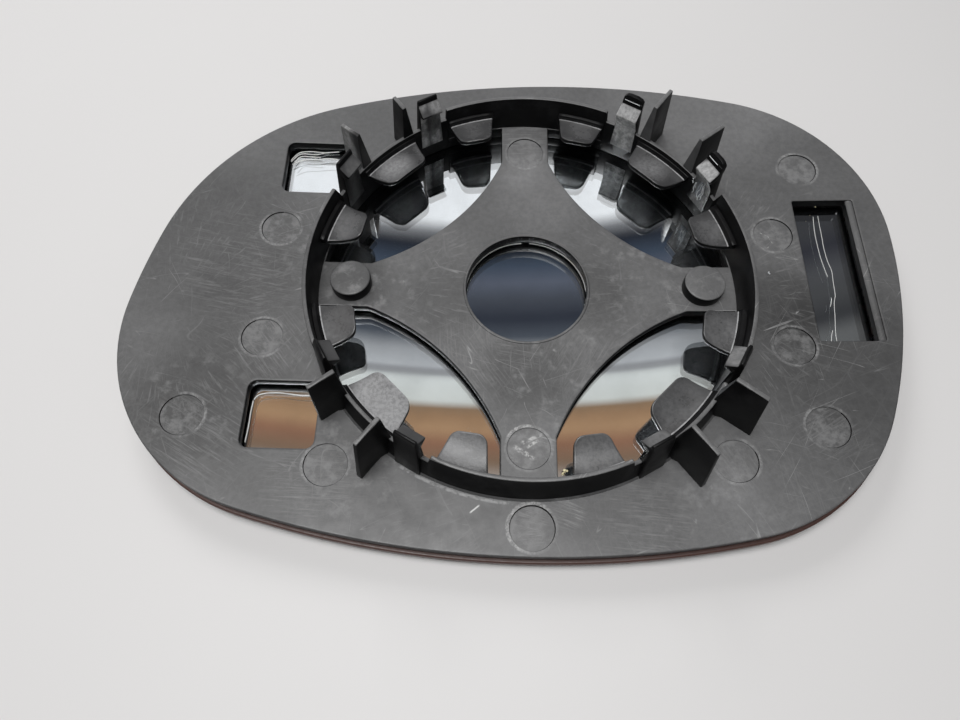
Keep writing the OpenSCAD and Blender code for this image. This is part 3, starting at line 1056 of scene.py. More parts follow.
        # Painted sheen and shade: the colour is scaled up or down in soft patches of the plan.
        painted_sheen_tone = 1.0
        for at, r, soft, change in self.PAINTED_SHEEN_AND_SHADE:
            painted_sheen_tone = kit.math("ADD", painted_sheen_tone, kit.math("MULTIPLY", kit.spot(at, r, soft), change))
        base = kit.scaled(base, kit.math("MULTIPLY", painted_sheen_tone, kit.ramp(kit.noise(900, 3.0, 0.7), 0.3, 0.7, 0.9, 1.1)))
        worn = kit.most(kit.spot(at, r, soft) for at, r, soft in self.WORN)
        rub = kit.math("MULTIPLY", worn, kit.ramp(kit.noise(300, 4.0, 0.65), 0.5, 0.72, 0.0, 0.3))
        nearest = None
        for at in self.MARKS:
            gap = kit.gap(at)
            nearest = gap if nearest is None else kit.math("MINIMUM", nearest, gap)
        off = kit.math("ABSOLUTE", kit.math("SUBTRACT", nearest, 0.0042))
        rims = kit.math("MULTIPLY", kit.ramp(off, 0.0001, 0.0005, 0.55, 0.0), kit.ramp(kit.noise(130, 3.0, 0.6), 0.38, 0.6))
        rims = kit.math("MULTIPLY", rims, kit.ramp(kit.noise(1700, 3.0, 0.7), 0.35, 0.65, 0.3, 1.0))
        foot = kit.ramp(kit.math("ABSOLUTE", kit.math("SUBTRACT", kit.gap((0, 0)), 0.0441)), 0.0001, 0.0004, 0.8, 0.0)
        foot = kit.math("MULTIPLY", kit.math("MULTIPLY", foot, kit.spot((-13, -42), 9, 6)), kit.ramp(kit.noise(500, 3.0, 0.7), 0.4, 0.6))
        sunk = kit.math("MULTIPLY", kit.ramp(nearest, 0.0036, 0.0041, 0.28, 0.0), kit.ramp(kit.noise(420, 4.0, 0.7), 0.4, 0.65))
        cuts = kit.most(kit.streak(*c) for c in self.CUTS)
        chalk = []
        for at, r, middle, reach in self.CHALK:
            off = kit.math("ABSOLUTE", kit.math("SUBTRACT", kit.gap(at), r * MM))
            chalk.append(kit.math("MULTIPLY", kit.ramp(off, 0.00015, 0.0005, 1.0, 0.0), kit.spot(middle, reach, 1.4)))
        chalk = kit.math("MULTIPLY", kit.most(chalk), kit.ramp(kit.noise(1300, 4.0, 0.8), 0.4, 0.66, 0.0, 0.6))
        fans = [kit.math("MULTIPLY", kit.fan(at, near, far), share) for at, near, far, share in self.FANS]
        torn = kit.math("MULTIPLY", kit.most(kit.streak(*g) for g in self.GOUGES), kit.ramp(kit.noise(1500, 4.0, 0.75), 0.4, 0.64, 0.0, 0.7))
        lines = kit.math("MULTIPLY", self.scratches(kit), 0.6)
        scrubs = [kit.math("MULTIPLY", self.scrub(kit, *row), 0.5) for row in self.SCRUBS]
        strokes = kit.math("MULTIPLY", kit.most(fans), 0.45)
        amount = kit.math("MINIMUM", kit.most([lines, rub, rims, sunk, foot, strokes, *scrubs]), 1.0)
        white = kit.most([torn, cuts, chalk])
        kit.put(kit.mix(white, kit.mix(amount, base, (*self.pale, 1)), (0.62, 0.62, 0.61, 1)), kit.shader.inputs["Base Color"])
        rough = kit.ramp(flow, 0.3, 0.7, self.roughness - 0.04, self.roughness + 0.06)
        rough = kit.math("ADD", rough, kit.math("MULTIPLY", amount, 0.12))
        kit.put(rough, kit.shader.inputs["Roughness"])
        normal = kit.bump(grain, 0.00001, 0.5)
        normal = kit.bump(coarse, 0.000015, 0.3, normal)
        normal = kit.bump(kit.math("MULTIPLY", amount, -1.0), 0.00002, 0.5, normal)
        kit.put(normal, kit.shader.inputs["Normal"])
        return kit.mat


@dataclass(frozen=True)
class Satin:
    """A satin plastic with a faint cloud, grain and optional scuffs; as the holder's walls it is a much darker,
    glossier copy of the top's plastic, painted shade on the faces that don't face up.
    """

    name: str
    colour: tuple[float, float, float]
    roughness: float
    scuff: float = 0.0
    sheen: float = 0.5

    def make(self) -> bpy.types.Material:
        """Returns the material."""
        kit = Kit(self.name)
        kit.shader.inputs["Specular IOR Level"].default_value = self.sheen
        cloud = kit.noise(240, 3.0, 0.6)
        grain = kit.noise(2600, 3.0, 0.6)
        base = kit.mix(kit.ramp(cloud, 0.3, 0.7), (*self.colour, 1), tuple(c * 1.35 for c in self.colour) + (1,))
        rub = kit.math("MULTIPLY", kit.ramp(kit.noise(210, 4.0, 0.7), 0.5, 0.7), self.scuff)
        kit.put(kit.mix(rub, base, (0.28, 0.28, 0.285, 1)), kit.shader.inputs["Base Color"])
        kit.put(kit.ramp(cloud, 0.3, 0.7, self.roughness - 0.04, self.roughness + 0.08), kit.shader.inputs["Roughness"])
        kit.put(kit.bump(grain, 0.000012, 0.4), kit.shader.inputs["Normal"])
        return kit.mat


@dataclass(frozen=True)
class Rubbed:
    """The same plastic where handling has rubbed it pale in places, some of which are painted highlights; line adds a
    painted highlight along the tabs' roots.
    """

    name: str
    colour: tuple[float, float, float]
    roughness: float
    pale: tuple[float, float, float]
    places: tuple[tuple[Point, float, float, float], ...]
    line: float = 0.0
    stretch: float = 0.12
    least: float = 0.85

    def make(self) -> bpy.types.Material:
        """Returns the material."""
        kit = Kit(self.name)
        cloud = kit.noise(240, 3.0, 0.6)
        grain = kit.noise(2600, 3.0, 0.6)
        upright = kit.tree.nodes.new("ShaderNodeMapping")
        kit.put(kit.place, upright.inputs["Vector"])
        upright.inputs["Scale"].default_value = (1.0, 1.0, self.stretch)
        strokes = kit.ramp(kit.noise(1500, 4.0, 0.7, upright.outputs[0]), 0.36, 0.62, 0.55, 1.0)
        rub = kit.most(kit.math("MULTIPLY", kit.spot(at, r, soft), share) for at, r, soft, share in self.places)
        rub = kit.math("MULTIPLY", rub, kit.ramp(cloud, 0.36, 0.6, self.least, 1.0))
        rub = kit.math("MULTIPLY", rub, strokes)
        # A pale line at the radius line: a painted highlight along the tabs' roots.
        if self.line:
            off = kit.math("ABSOLUTE", kit.math("SUBTRACT", kit.gap((0, 0)), self.line * MM))
            root = kit.math("MULTIPLY", kit.ramp(off, 0.00012, 0.0003, 0.9, 0.0), kit.ramp(kit.noise(420, 3.0, 0.7), 0.35, 0.6, 0.5, 1.0))
            rub = kit.math("MAXIMUM", rub, root)
        base = kit.mix(kit.ramp(cloud, 0.3, 0.7), (*self.colour, 1), tuple(c * 1.4 for c in self.colour) + (1,))
        kit.put(kit.mix(rub, base, (*self.pale, 1)), kit.shader.inputs["Base Color"])
        rough = kit.ramp(cloud, 0.3, 0.7, self.roughness - 0.04, self.roughness + 0.06)
        kit.put(kit.math("ADD", rough, kit.math("MULTIPLY", rub, 0.6)), kit.shader.inputs["Roughness"])
        normal = kit.bump(grain, 0.000012, 0.4)
        kit.put(kit.bump(strokes, 0.00003, 0.5, normal), kit.shader.inputs["Normal"])
        return kit.mat


class Skin(Enum):
    """The looks of the moulding's faces; WALL is a near-black copy of TOP, painted shade on the faces that don't face
    up.
    """

    TOP = 0
    WALL = 1
    TAB = 2
    RAMP = 3
    FACE = 4


@dataclass(frozen=True)
class MirrorCoat:
    """Silvered mirror surface with faint smears and dust; where it is thin, it lets half of the light through."""

    colour: tuple[float, float, float] = (0.86, 0.89, 0.91)
    silvered: float = 1.0
    name: str = "mirror_coating"

    def make(self) -> bpy.types.Material:
        """Returns the material."""
        kit = Kit(self.name)
        haze = kit.noise(120, 3.0, 0.6)
        kit.put(kit.mix(kit.ramp(haze, 0.35, 0.75), (*self.colour, 1), tuple(c * 0.93 for c in self.colour) + (1,)),
                kit.shader.inputs["Base Color"])
        kit.shader.inputs["Metallic"].default_value = self.silvered
        if self.silvered < 1:
            outside = kit.math("SUBTRACT", 1.0, kit.node("NewGeometry", "Backfacing"))
            kit.put(kit.math("MULTIPLY", outside, self.silvered), kit.shader.inputs["Metallic"])
            kit.shader.inputs["Transmission Weight"].default_value = 1.0
            kit.shader.inputs["IOR"].default_value = 1.5
        kit.put(kit.ramp(haze, 0.4, 0.8, 0.012, 0.03), kit.shader.inputs["Roughness"])
        return kit.mat


@dataclass(frozen=True)
class GlassEdge:
    """Ground edge of the mirror glass."""

    colour: tuple[float, float, float] = (0.060, 0.028, 0.022)
    name: str = "glass_edge"

    def make(self) -> bpy.types.Material:
        """Returns the material."""
        kit = Kit(self.name)
        grind = kit.noise(2600, 3.0, 0.6)
        kit.put(kit.mix(grind, (*self.colour, 1), tuple(min(1, c * 1.5) for c in self.colour) + (1,)),
                kit.shader.inputs["Base Color"])
        kit.put(kit.ramp(grind, 0.3, 0.7, 0.3, 0.5), kit.shader.inputs["Roughness"])
        kit.put(kit.bump(grind, 0.00003, 0.5), kit.shader.inputs["Normal"])
        return kit.mat


@dataclass(frozen=True)
class Adhesive:
    """Pale adhesive, glossy where it has strung out."""

    colour: tuple[float, float, float] = (0.72, 0.71, 0.68)
    gloss: float = 0.3
    name: str = "adhesive"

    def make(self) -> bpy.types.Material:
        """Returns the material."""
        kit = Kit(self.name)
        cloud = kit.noise(900, 3.0, 0.6)
        kit.put(kit.mix(cloud, (*self.colour, 1), tuple(c * 0.8 for c in self.colour) + (1,)),
                kit.shader.inputs["Base Color"])
        kit.put(kit.ramp(cloud, 0.3, 0.7, self.gloss, self.gloss + 0.15), kit.shader.inputs["Roughness"])
        kit.put(kit.bump(cloud, 0.00005, 0.4), kit.shader.inputs["Normal"])
        return kit.mat


# Sub-assemblies


@dataclass
class Plate:
    """The dished plate with its windows, the arms' openings, the middle hole and ejector marks."""

    thick: float = 2.0
    hole_r: float = 12.2
    arm_half: float = 5.1
    ring_r: float = 41.36
    hub_r: float = 47.1
    hub_at: float = 48.9
    pin_r: float = 4.0
    left_low: tuple[Point, Point] = ((-52.2, 22.3), (-52.2, -34.7))
    left_high: tuple[Point, Point] = ((-38.8, 35.4), (-38.8, -21.6))
    tall: tuple[Point, Point] = ((56.3, -11.7), (67.5, 21.3))
    ledge_w: float = 1.2
    ledge_deep: float = 0.4
    marks: tuple[Point, ...] = (
        (-51.0, 12.9), (-51.2, -12.5), (-63.2, -28.9), (-36.2, -37.6), (36.9, -35.7), (54.3, -29.2),
        (51.2, -12.7), (58.7, 29.5), (51.1, 12.8), (0, 34.1), (0, -33.8))
    cup: Point = (0.4, -48.1)

    def opening(self, quarter: int) -> Loop:
        """Returns the opening between two arms in one quarter of the plan."""
        a, r = self.arm_half, self.ring_r
        wide = math.degrees(math.asin(a / r))
        outer = arc((0, 0), r, wide, 90 - 2 * wide, 36)
        reach = math.degrees(math.asin((self.hub_at - a) / self.hub_r))
        first = 180 + (90 - reach)
        hub = arc((self.hub_at, self.hub_at), self.hub_r, first, 90 - 2 * (90 - reach), 30)
        return [turned(p, 90 * quarter) for p in outer + hub]

    def ledge(self, loop: Loop) -> list[tuple[Loop, float]]:
        """Rings that step the tall window's outer side down.

        Args:
            loop: The window's own loop.

        Returns:
            Rings with their depths, from the upper face.
        """
        (x0, y0), (x1, y1) = self.tall
        wide = box_loop((x0, y0), (x1 + self.ledge_w, y1), 0.4)
        middle = box_loop((x0, y0), (x1 + 0.6 * self.ledge_w, y1), 0.4)
        near = box_loop((x0, y0), (x1 + 0.15, y1), 0.4)
        return [(wide, 0.0), (middle, self.ledge_deep * 0.35), (near, self.ledge_deep), (loop, self.ledge_deep + 0.15)]

    def make(self) -> bpy.types.Object:
        """Returns the plate as an object."""
        holes = [box_loop(a, b, 1.6) for a, b in zip(self.left_low, self.left_high)]
        holes.append(box_loop(*self.tall, 0.4))
        holes += [self.opening(q) for q in range(4)]
        holes.append(circle((0, 0), self.hole_r, 96))
        slab = Slab(OUTLINE.loop(), DISH.level(0), DISH.level(-self.thick), holes=holes, ledges={2: self.ledge},
                    recesses=[Recess(m, self.pin_r, 0.18) for m in self.marks] + [Recess(self.cup, self.pin_r, 0.6)],
                    grid=4.0)
        return slab.make("plate")


@dataclass
class SnapRing:
    """The snap ring with its tabs, hooks and fins."""

    array: RingArray
    r: float = 41.3
    low: float = 6.3
    tall: float = 8.4
    rim: float = 0.8
    low_lean: float = 0.15
    base: float = 1.9
    cove: float = 0.5
    sink: float = 1.98
    half: float = 24.0
    tab_h: float = 6.0
    tab_reach: float = 7.1
    tab_t: float = 1.2
    tab_rise: float = 1.2
    sag: float = 0.65
    hook_h: float = 13.9
    hook_w: float = 4.3
    hook_angle: float = 29.8
    fin_h: float = 14.7
    fin_t: float = 0.8
    LEANS = (1.1, 0.7, 1.0, 0.0)
    FINS = (
        (37.1, 1.1, 7.3, 9.1, 0.0), (52.9, 1.1, 7.3, 9.1, 0.0), (127.1, 0.7, 4.6, 6.3, 0.7), (142.9, 1.1, 5.7, 6.3, 0.0),
        (217.1, 0.6, 5.8, 6.6, 0.0), (232.9, 0.6, 6.4, 8.5, 0.0), (307.1, 1.2, 7.2, 9.2, 0.0), (322.9, 1.2, 7.2, 9.2, 0.0))

    def section(self, h: float, lean: float) -> Loop:
        """Returns the ring's section for a height and the lean of its inner face."""
        foot = DISH.at(self.r, 0)
        outer = self.r + self.base
        top = self.r + lean
        return [(self.r, -self.sink), (outer + self.cove, -self.sink), (outer + self.cove, foot),
                (outer, foot + self.cove), (top + self.rim, h), (top, h)]

    def wall(self) -> list[bpy.types.Object]:
        """Returns the ring, whose rim steps up about each arm, and the fillets at the tabs' roots."""
        step = 0.5
        rows = []
        for q in range(4):
            middle = 90 * q
            tall = [middle - self.half + 2 * self.half * k / 20 for k in range(21)]
            low = [middle + self.half + step + (90 - 2 * self.half - 2 * step) * k / 18 for k in range(19)]
            rows += [(a, self.tall, self.LEANS[q]) for a in tall] + [(a, self.low, self.low_lean) for a in low]
        sections = [
            [(*turned((r, 0), a), z) for r, z in self.section(h, lean)] for a, h, lean in rows
        ]
        ring = softened(lofted("ring", sections, closed=True), 0.16)
        root = self.tab_h - self.tab_rise
        fillet = [(self.r + 0.9, root - 0.3), (self.r + 0.9, root + 0.55), (self.r - 0.06, root + 0.5),
                  (self.r - 0.25, root + 0.15), (self.r - 0.6, root - 0.08), (self.r - 0.6, root - 0.3)]
        out = [ring]
        for first, sweep in ((-9.5, 19.0), (-35.0, 13.8), (21.2, 13.8)):
            strip = softened(lathe(f"root_{first:.0f}", fillet, first, sweep, 8), 0.05, 1)
            out.append(self.array.round(strip, 4, 45))
        return out

    def bowl(self, x: float, y: float) -> float:
        """Returns the height of the tabs' dished upper face."""
        s = (self.r - math.hypot(x, y)) / self.tab_reach
        s = min(1.15, max(-0.2, s))
        return self.tab_h - self.tab_rise + self.tab_rise * s - 4 * self.sag * s * (1 - s)

    def tabs(self) -> list[bpy.types.Object]:
        """Returns the wide corner tabs and the narrower ones beside the arms."""
        tip = self.r - self.tab_reach
        end = self.r + 1.0
        root = arc((0, 0), end, -9.6, 19.2, 14)
        wide = root + rounded([root[-1], (tip, 4.6), (tip, -4.6), root[0]], [0, 2.4, 2.4, 0])[1:-1]
        root = arc((0, 0), end, 9.9, 14.0, 10)
        side = root + rounded([root[-1], (tip - 2, 13.6), (tip - 1, 7.5), root[0]], [0, 2.0, 2.0, 0])[1:-1]
        flip = [(x, -y) for x, y in reversed(side)]
        out = []
        for name, loop, first in (("corner_tab", wide, 45), ("side_tab", side, 0), ("side_tab_flip", flip, 0)):
            dense = self.finer(loop, 0.8)
            slab = Slab(dense, self.bowl, lambda x, y: self.bowl(x, y) - self.tab_t, edge=Edge(0.28, 3, 0.1), grid=1.0)
            out.append(self.array.round(slab.make(name), 4, first))
        return out

    @staticmethod
    def finer(loop: Loop, step: float) -> Loop:
        """Returns the loop with its long sides cut into steps."""
        out: Loop = []
        for a, b in zip(loop, loop[1:] + loop[:1]):
            count = max(1, round(math.dist(a, b) / step))
            out += [(a[0] + (b[0] - a[0]) * k / count, a[1] + (b[1] - a[1]) * k / count) for k in range(count)]
        return out

    def taper(self, foot: float, head: float, h: float) -> Callable[[float], float]:
        """Returns the width at a height for a wall that narrows upward."""
        return lambda z: foot + (head - foot) * (z + self.sink) / (h + self.sink)

    def hook(self, name: str, crown: bool) -> bpy.types.Object:
        """Makes one hook.

        Args:
            name: Name for the object.
            crown: True for the taller kind.

        Returns:
            The hook on the +X axis.
        """
        r, h = self.r, self.hook_h
        foot = DISH.at(r, 0)
        ramp = r + 0.3
        nose = r - 1.6
        top = [(ramp + 1.0, h - 0.9), (ramp + 0.6, h), (ramp + 0.1, h)]
        profile = [(r, -self.sink), (r + 2.4, -self.sink), (r + 2.4, foot)] + top + [
            (ramp, h - 1.2), (nose, h - 2.7), (nose, h - 3.2), (r, h - 3.8)]
        width = self.taper(self.hook_w + 1.1, self.hook_w, h)
        post = softened(upright(name, profile, width), 0.14)
        face = [(r - 0.12, 1.0), (r + 0.4, 1.0), (r + 0.4, h - 3.4), (r - (1.5 if crown else 0.12), h - 3.25)]
        if crown:
            face.append((r - 0.12, h - 6.5))
        parts = [post, softened(upright("face", face, width), 0.08)]
        return joined(name, parts + [self.crown(ramp + 0.35, h)] if crown else parts)

    def crown(self, near: float, h: float) -> bpy.types.Object:
        """Makes the arched plate that stands on a crowned hook.

        Args:
            near: Radius of its inner face, in mm.
            h: Height of the hook's lip, in mm.

        Returns:
            The plate, on the +X axis.
        """
        half = self.hook_w / 2
        edge = [(-half, h - 1.6), (-half, h + 0.35), (-half + 0.5, h + 0.85), (-half + 1.4, h + 1.08), (half - 1.4, h + 1.08),
                (half - 0.5, h + 0.85), (half, h + 0.35), (half, h - 1.6)]
        sections = [[(r, y, z) for y, z in edge] for r in (near, near + 0.9)]
        return softened(lofted("crown", sections), 0.1)

    def hooks(self) -> list[bpy.types.Object]:
        """Returns all hooks, with the two crowned ones in the far right quarter."""
        out = []
        for side in (self.hook_angle, 90 - self.hook_angle):
            for q in range(4):
                hook = self.hook(f"hook_{q}_{side:.0f}", q == 0)
                slip = -0.9 if q == 0 and side > 45 else 0.0
                out.append(self.array.round(hook, 1, side + 90 * q + slip))
        return out

    def fins(self) -> list[bpy.types.Object]:
        """Returns all guide fins."""
        out = []
        for turn, *shape in self.FINS:
            fin = self.array.round(self.fin(*shape), 1, turn)
            fin.name = f"fin_{turn:.0f}"
            out.append(fin)
        return out

    def fin(self, inner: float, outer: float, foot: float, drop: float) -> bpy.types.Object:
        """Makes one fin: a plate whose inner side flares out towards its root.

        Args:
            inner: Distance of its inner top corner beyond the ring's inner face, in mm.
            outer: Distance of its outer top corner, in mm.
            foot: Distance of its foot, in mm.
            drop: How much lower than the others it ends, in mm.

        Returns:
            The fin, on the +X axis.
        """
        top = self.fin_h - drop
        thin = self.taper(self.fin_t + 0.5, self.fin_t, top)
        wide = self.taper(4.4, self.fin_t, top)
        levels = (-self.sink, DISH.at(self.r + foot, 0), self.low, top - 0.1)
        sections = []
        for z in levels:
            up = min(1.0, max(0.0, (z - self.low) / (top - self.low)))
            near = self.r + 0.3 + (inner - 0.3) * up
            out = max(0.0, (z - levels[1]) / (top - levels[1]))
            far = self.r + foot + (outer - foot) * out
            flare = near + min(3.0, 0.45 * (far - near))
            t, w = thin(z) / 2, wide(z) / 2
            half = [(near, w, z), (flare, t, z), (far, t, z)]
            sections.append([(x, -y, h) for x, y, h in half] + half[::-1])
        return softened(lofted("fin", sections), 0.17, 3)

    def make(self) -> list[bpy.types.Object]:
        """Returns every part of the ring."""
        return self.wall() + self.tabs() + self.hooks() + self.fins()


@dataclass
class Bosses:
    """The two stop bosses and the bead round the hole."""

    x: float = 35.1
    r: float = 4.0
    h: float = 2.9
    hole_r: float = 12.2

    def make(self) -> list[bpy.types.Object]:
        """Returns the bosses and the bead."""
        out = []
        for side in (-1, 1):
            section = [(0.0, -0.8), (self.r, -0.8), (self.r, self.h), (0.0, self.h)]
            boss = lathe(f"boss_{side}", section, 0, 360, 64)
            boss.data.transform(Matrix.Translation((side * self.x * MM, 0, 0)))
            out.append(softened(boss, 0.3, 3))
        top = DISH.at(self.hole_r, 0) + 0.15
        r = self.hole_r
        bead = [(r, -0.8), (r + 0.55, -0.8), (r + 0.55, top - 0.15), (r + 0.4, top), (r, top)]
        out.append(softened(lathe("bead", bead, 0, 360, 128), 0.07))
        return out


@dataclass
class Glass:
    """The convex mirror glass."""

    thick: float = 2.0
    below: float = 2.7
    over: float = 0.2
    shift: Point = (0.2, -0.5)

    def make(self, upper: bpy.types.Material, lower: bpy.types.Material, edge: bpy.types.Material) -> bpy.types.Object:
        """Makes the glass.

        Args:
            upper: Material of the face under the holder.
            lower: Material of the mirror's front.
            edge: Material of its rim.

        Returns:
            The object.
        """
        loop = [(x + self.shift[0], y + self.shift[1]) for x, y in OUTLINE.loop(self.over)]
        slab = Slab(loop, DISH.level(-self.below), DISH.level(-self.below - self.thick), edge=Edge(0.3, 3, 0.1), grid=4.0)
        glass = slab.make("mirror_glass_pane")
        for look in (upper, lower, edge):
            glass.data.materials.append(look)
        bounds, deep = OUTLINE.loop(-0.6), OUTLINE.loop(-2.9)
        for poly in glass.data.polygons:
            covered = inside(tuple(poly.center.xy / MM), deep) or all(
                inside(tuple(glass.data.vertices[v].co.xy / MM), bounds) for v in poly.vertices)
            flat = abs(poly.normal.z) > 0.98 and (poly.normal.z < 0 or covered)
            poly.material_index = (0 if poly.normal.z > 0 else 1) if flat else 2
        return glass


@dataclass(frozen=True)
class Glue:
    """Strings and beads of adhesive left in the windows, and a drop beside the near mark."""

    UPPER_LEFT = (
        ((-52.0, 32.4), (-51.6, 33.2), (-50.9, 34.3), (-50.0, 34.9), (-48.0, 35.1), (-46.0, 35.0), (-44.6, 34.9), (-43.9, 35.1)),
        ((-51.9, 31.9), (-51.2, 32.9), (-50.5, 33.9), (-49.4, 34.3), (-47.4, 34.1), (-46.0, 34.2), (-44.2, 34.8), (-41.6, 35.1)),
        ((-51.1, 31.6), (-50.6, 32.3), (-50.2, 33.0), (-49.3, 33.4), (-47.3, 33.3), (-45.5, 33.3)),
        ((-51.4, 30.8), (-50.3, 31.6), (-48.7, 32.2), (-46.2, 32.4), (-44.0, 32.8), (-41.6, 32.7)))
    LOWER_LEFT = (
        ((-51.6, -24.6), (-51.3, -24.0), (-50.7, -23.5), (-49.2, -23.15), (-47.4, -23.05), (-45.1, -23.2), (-43.4, -23.4),
         (-41.2, -23.4)),
        ((-51.9, -33.0), (-51.8, -30.0), (-51.8, -27.0), (-51.7, -24.8)))
    RIGHT = (
        ((61.5, 19.2), (61.15, 15.7), (61.1, 11.9), (61.3, 7.8), (61.8, 4.2)),
        ((62.5, 19.3), (62.4, 15.3), (62.3, 11.1), (62.5, 7.8), (62.85, 5.6), (62.6, 2.2), (62.45, -0.1), (61.9, -1.9),
         (61.5, -4.7), (60.95, -8.1), (60.7, -10.9)),
        ((61.6, -0.7), (61.35, -1.7), (61.0, -2.7)), ((60.4, -8.1), (59.9, -9.5), (59.6, -10.9)))
    FLECKS = ((48.8, 3.7), (49.0, 3.45))
    HOLE = 12.35

    def on_glass(self, line: Sequence[Point], above: float) -> list[tuple[float, float, float]]:
        """Returns a line of the plan laid on the glass, raised by above."""
        return [(x, y, DISH.at(x, y) - 2.7 + above) for x, y in line]

    def make(self, threads: Threads, drops: Crumbs, soot: Crumbs, flecks: Crumbs) -> list[bpy.types.Object]:
        """Makes all of the glue that shows.

        Args:
            threads: Tree for the strings.
            drops: Tree for the drops.
            soot: Tree for the dark crumbs on the drop.
            flecks: Tree for the white flecks on the plate.

        Returns:
            The objects.
        """
        hole = [arc((0, 0), self.HOLE, a, 82, 24) for a in (4, 94, 184, 274)]
        return [
            threads.draw("strings_far_left", [self.on_glass(v, 0.2 + 0.22 * i) for i, v in enumerate(self.UPPER_LEFT)], 0.1, 0.25),
            threads.draw("bead_near_left", [self.on_glass(v, 0.1) for v in self.LOWER_LEFT], 0.13, 0.1),
            threads.draw("strings_right", [self.on_glass(v, 0.06) for v in self.RIGHT], 0.05, 0.15),
            threads.draw("bead_hole", [self.on_glass(v, 0.08) for v in hole], 0.09, 0.08),
            drops.lay("glue_drop", [(6.3, -38.3, 1.25), (6.6, -38.1, 1.0), (6.0, -38.5, 1.0), (6.2, -38.1, 1.5)], 0.34, 3),
            drops.lay("specks", [(68.6, 7.6, 1.6), (68.9, 7.9, 1.55), (61.6, 20.6, 0.4)], 0.17, 5),
            flecks.lay("flecks", [(x, y, DISH.at(x, y) + 0.05) for x, y in self.FLECKS], 0.2, 6),
            soot.lay("glue_crumbs", [(6.1, -38.6, 1.4), (6.5, -38.4, 1.3), (5.8, -38.2, 1.1)], 0.13, 8),
        ]


@dataclass(frozen=True)
class Burrs:
    """Torn plastic on the hook at the far right, and whitened bits at its root."""

    angle: float = 29.8
    r: float = 41.3

    def at(self, t: float, out: float, z: float) -> tuple[float, float, float]:
        """Returns a point beside the hook: t across it, out beyond the ring's inner face, at the height z."""
        return (*turned((self.r + out, t), self.angle), z)

    def sheet(self) -> bpy.types.Object:
        """Returns the torn skin on the hook's inner face."""
        rng = random.Random(11)
        mesh = bmesh.new()
        wide, high = 12, 18
        rows = []
        for j in range(high + 1):
            v = j / high
            z = 3.2 + 7.6 * v
            left, right = -1.9, 1.9 - 1.5 * max(0.0, v - 0.55) / 0.45
            row = []
            for i in range(wide + 1):
                u = i / wide
                edge = min(u, 1 - u, v, 1 - v)
                ridge = 0.5 * math.exp(-((u - 0.55) / 0.13) ** 2)
                deep = (0.12 + ridge + rng.uniform(-0.1, 0.1)) if edge > 0 else 0.0
                row.append(mesh.verts.new(self.at(left + (right - left) * u, 0.03 - deep, z)))
            rows.append(row)
        back = [[mesh.verts.new(v.co + Vector((*turned((0.25, 0), self.angle), 0))) for v in row] for row in rows]
        for grid, flip in ((rows, False), (back, True)):
            for low, up in zip(grid, grid[1:]):
                for k in range(wide):
                    quad = (low[k], low[k + 1], up[k + 1], up[k])
                    mesh.faces.new(quad[::-1] if flip else quad)
        rim = rows[0] + [r[-1] for r in rows[1:]] + rows[-1][-2::-1] + [r[0] for r in rows[-2:0:-1]]
        hid = back[0] + [r[-1] for r in back[1:]] + back[-1][-2::-1] + [r[0] for r in back[-2:0:-1]]
        for k in range(len(rim)):
            n = (k + 1) % len(rim)
            mesh.faces.new((rim[k], hid[k], hid[n], rim[n]))
        return baked(to_object("torn_skin", mesh), 35)

    def make(self, crumbs: Crumbs, threads: Threads, torn: bpy.types.Material) -> list[bpy.types.Object]:
        """Makes the torn skin, its fibres and the whitened bits.

        Args:
            crumbs: Tree for the bits.
            threads: Tree for the fibres.
            torn: Material of the torn skin.

        Returns:
            The objects.
        """
        sheet = self.sheet()
        sheet.data.materials.append(torn)
        rng = random.Random(4)
        fibres = []
        for k in range(9):
            t, z = rng.uniform(-1.7, 1.5), rng.uniform(3.4, 6.5)
            fibres.append([self.at(t + rng.uniform(-0.25, 0.25), -0.45 - rng.uniform(0, 0.3), z + 0.8 * j) for j in range(rng.randint(3, 6))])
        near = [self.at(-2.3 + 0.12 * k, 0.1 - 0.1 * (k % 3), 4.4 + 0.45 * k) for k in range(5)]
        far = [self.at(2.6, -0.1, 5.6), self.at(2.9, 0.1, 6.0), self.at(2.5, 0.0, 5.2)]
        # Pale threads along the lips of the two far right hooks, giving a light line along each lip's top.
        lips = [[(*turned((self.r + 0.33, t), turn), 13.9) for t in (first, (first + 1.7) / 2, 1.7)]
                for turn, first in ((self.angle, -0.9), (89.1 - self.angle, -1.6))]
        return [sheet, threads.draw("fibres", fibres, 0.09, 0.5), threads.draw("pale_lip_lines", lips, 0.06, 0.06),
                crumbs.lay("burrs_near", near, 0.2, 21),
                crumbs.lay("burrs_far", far, 0.24, 22)]


# Studio


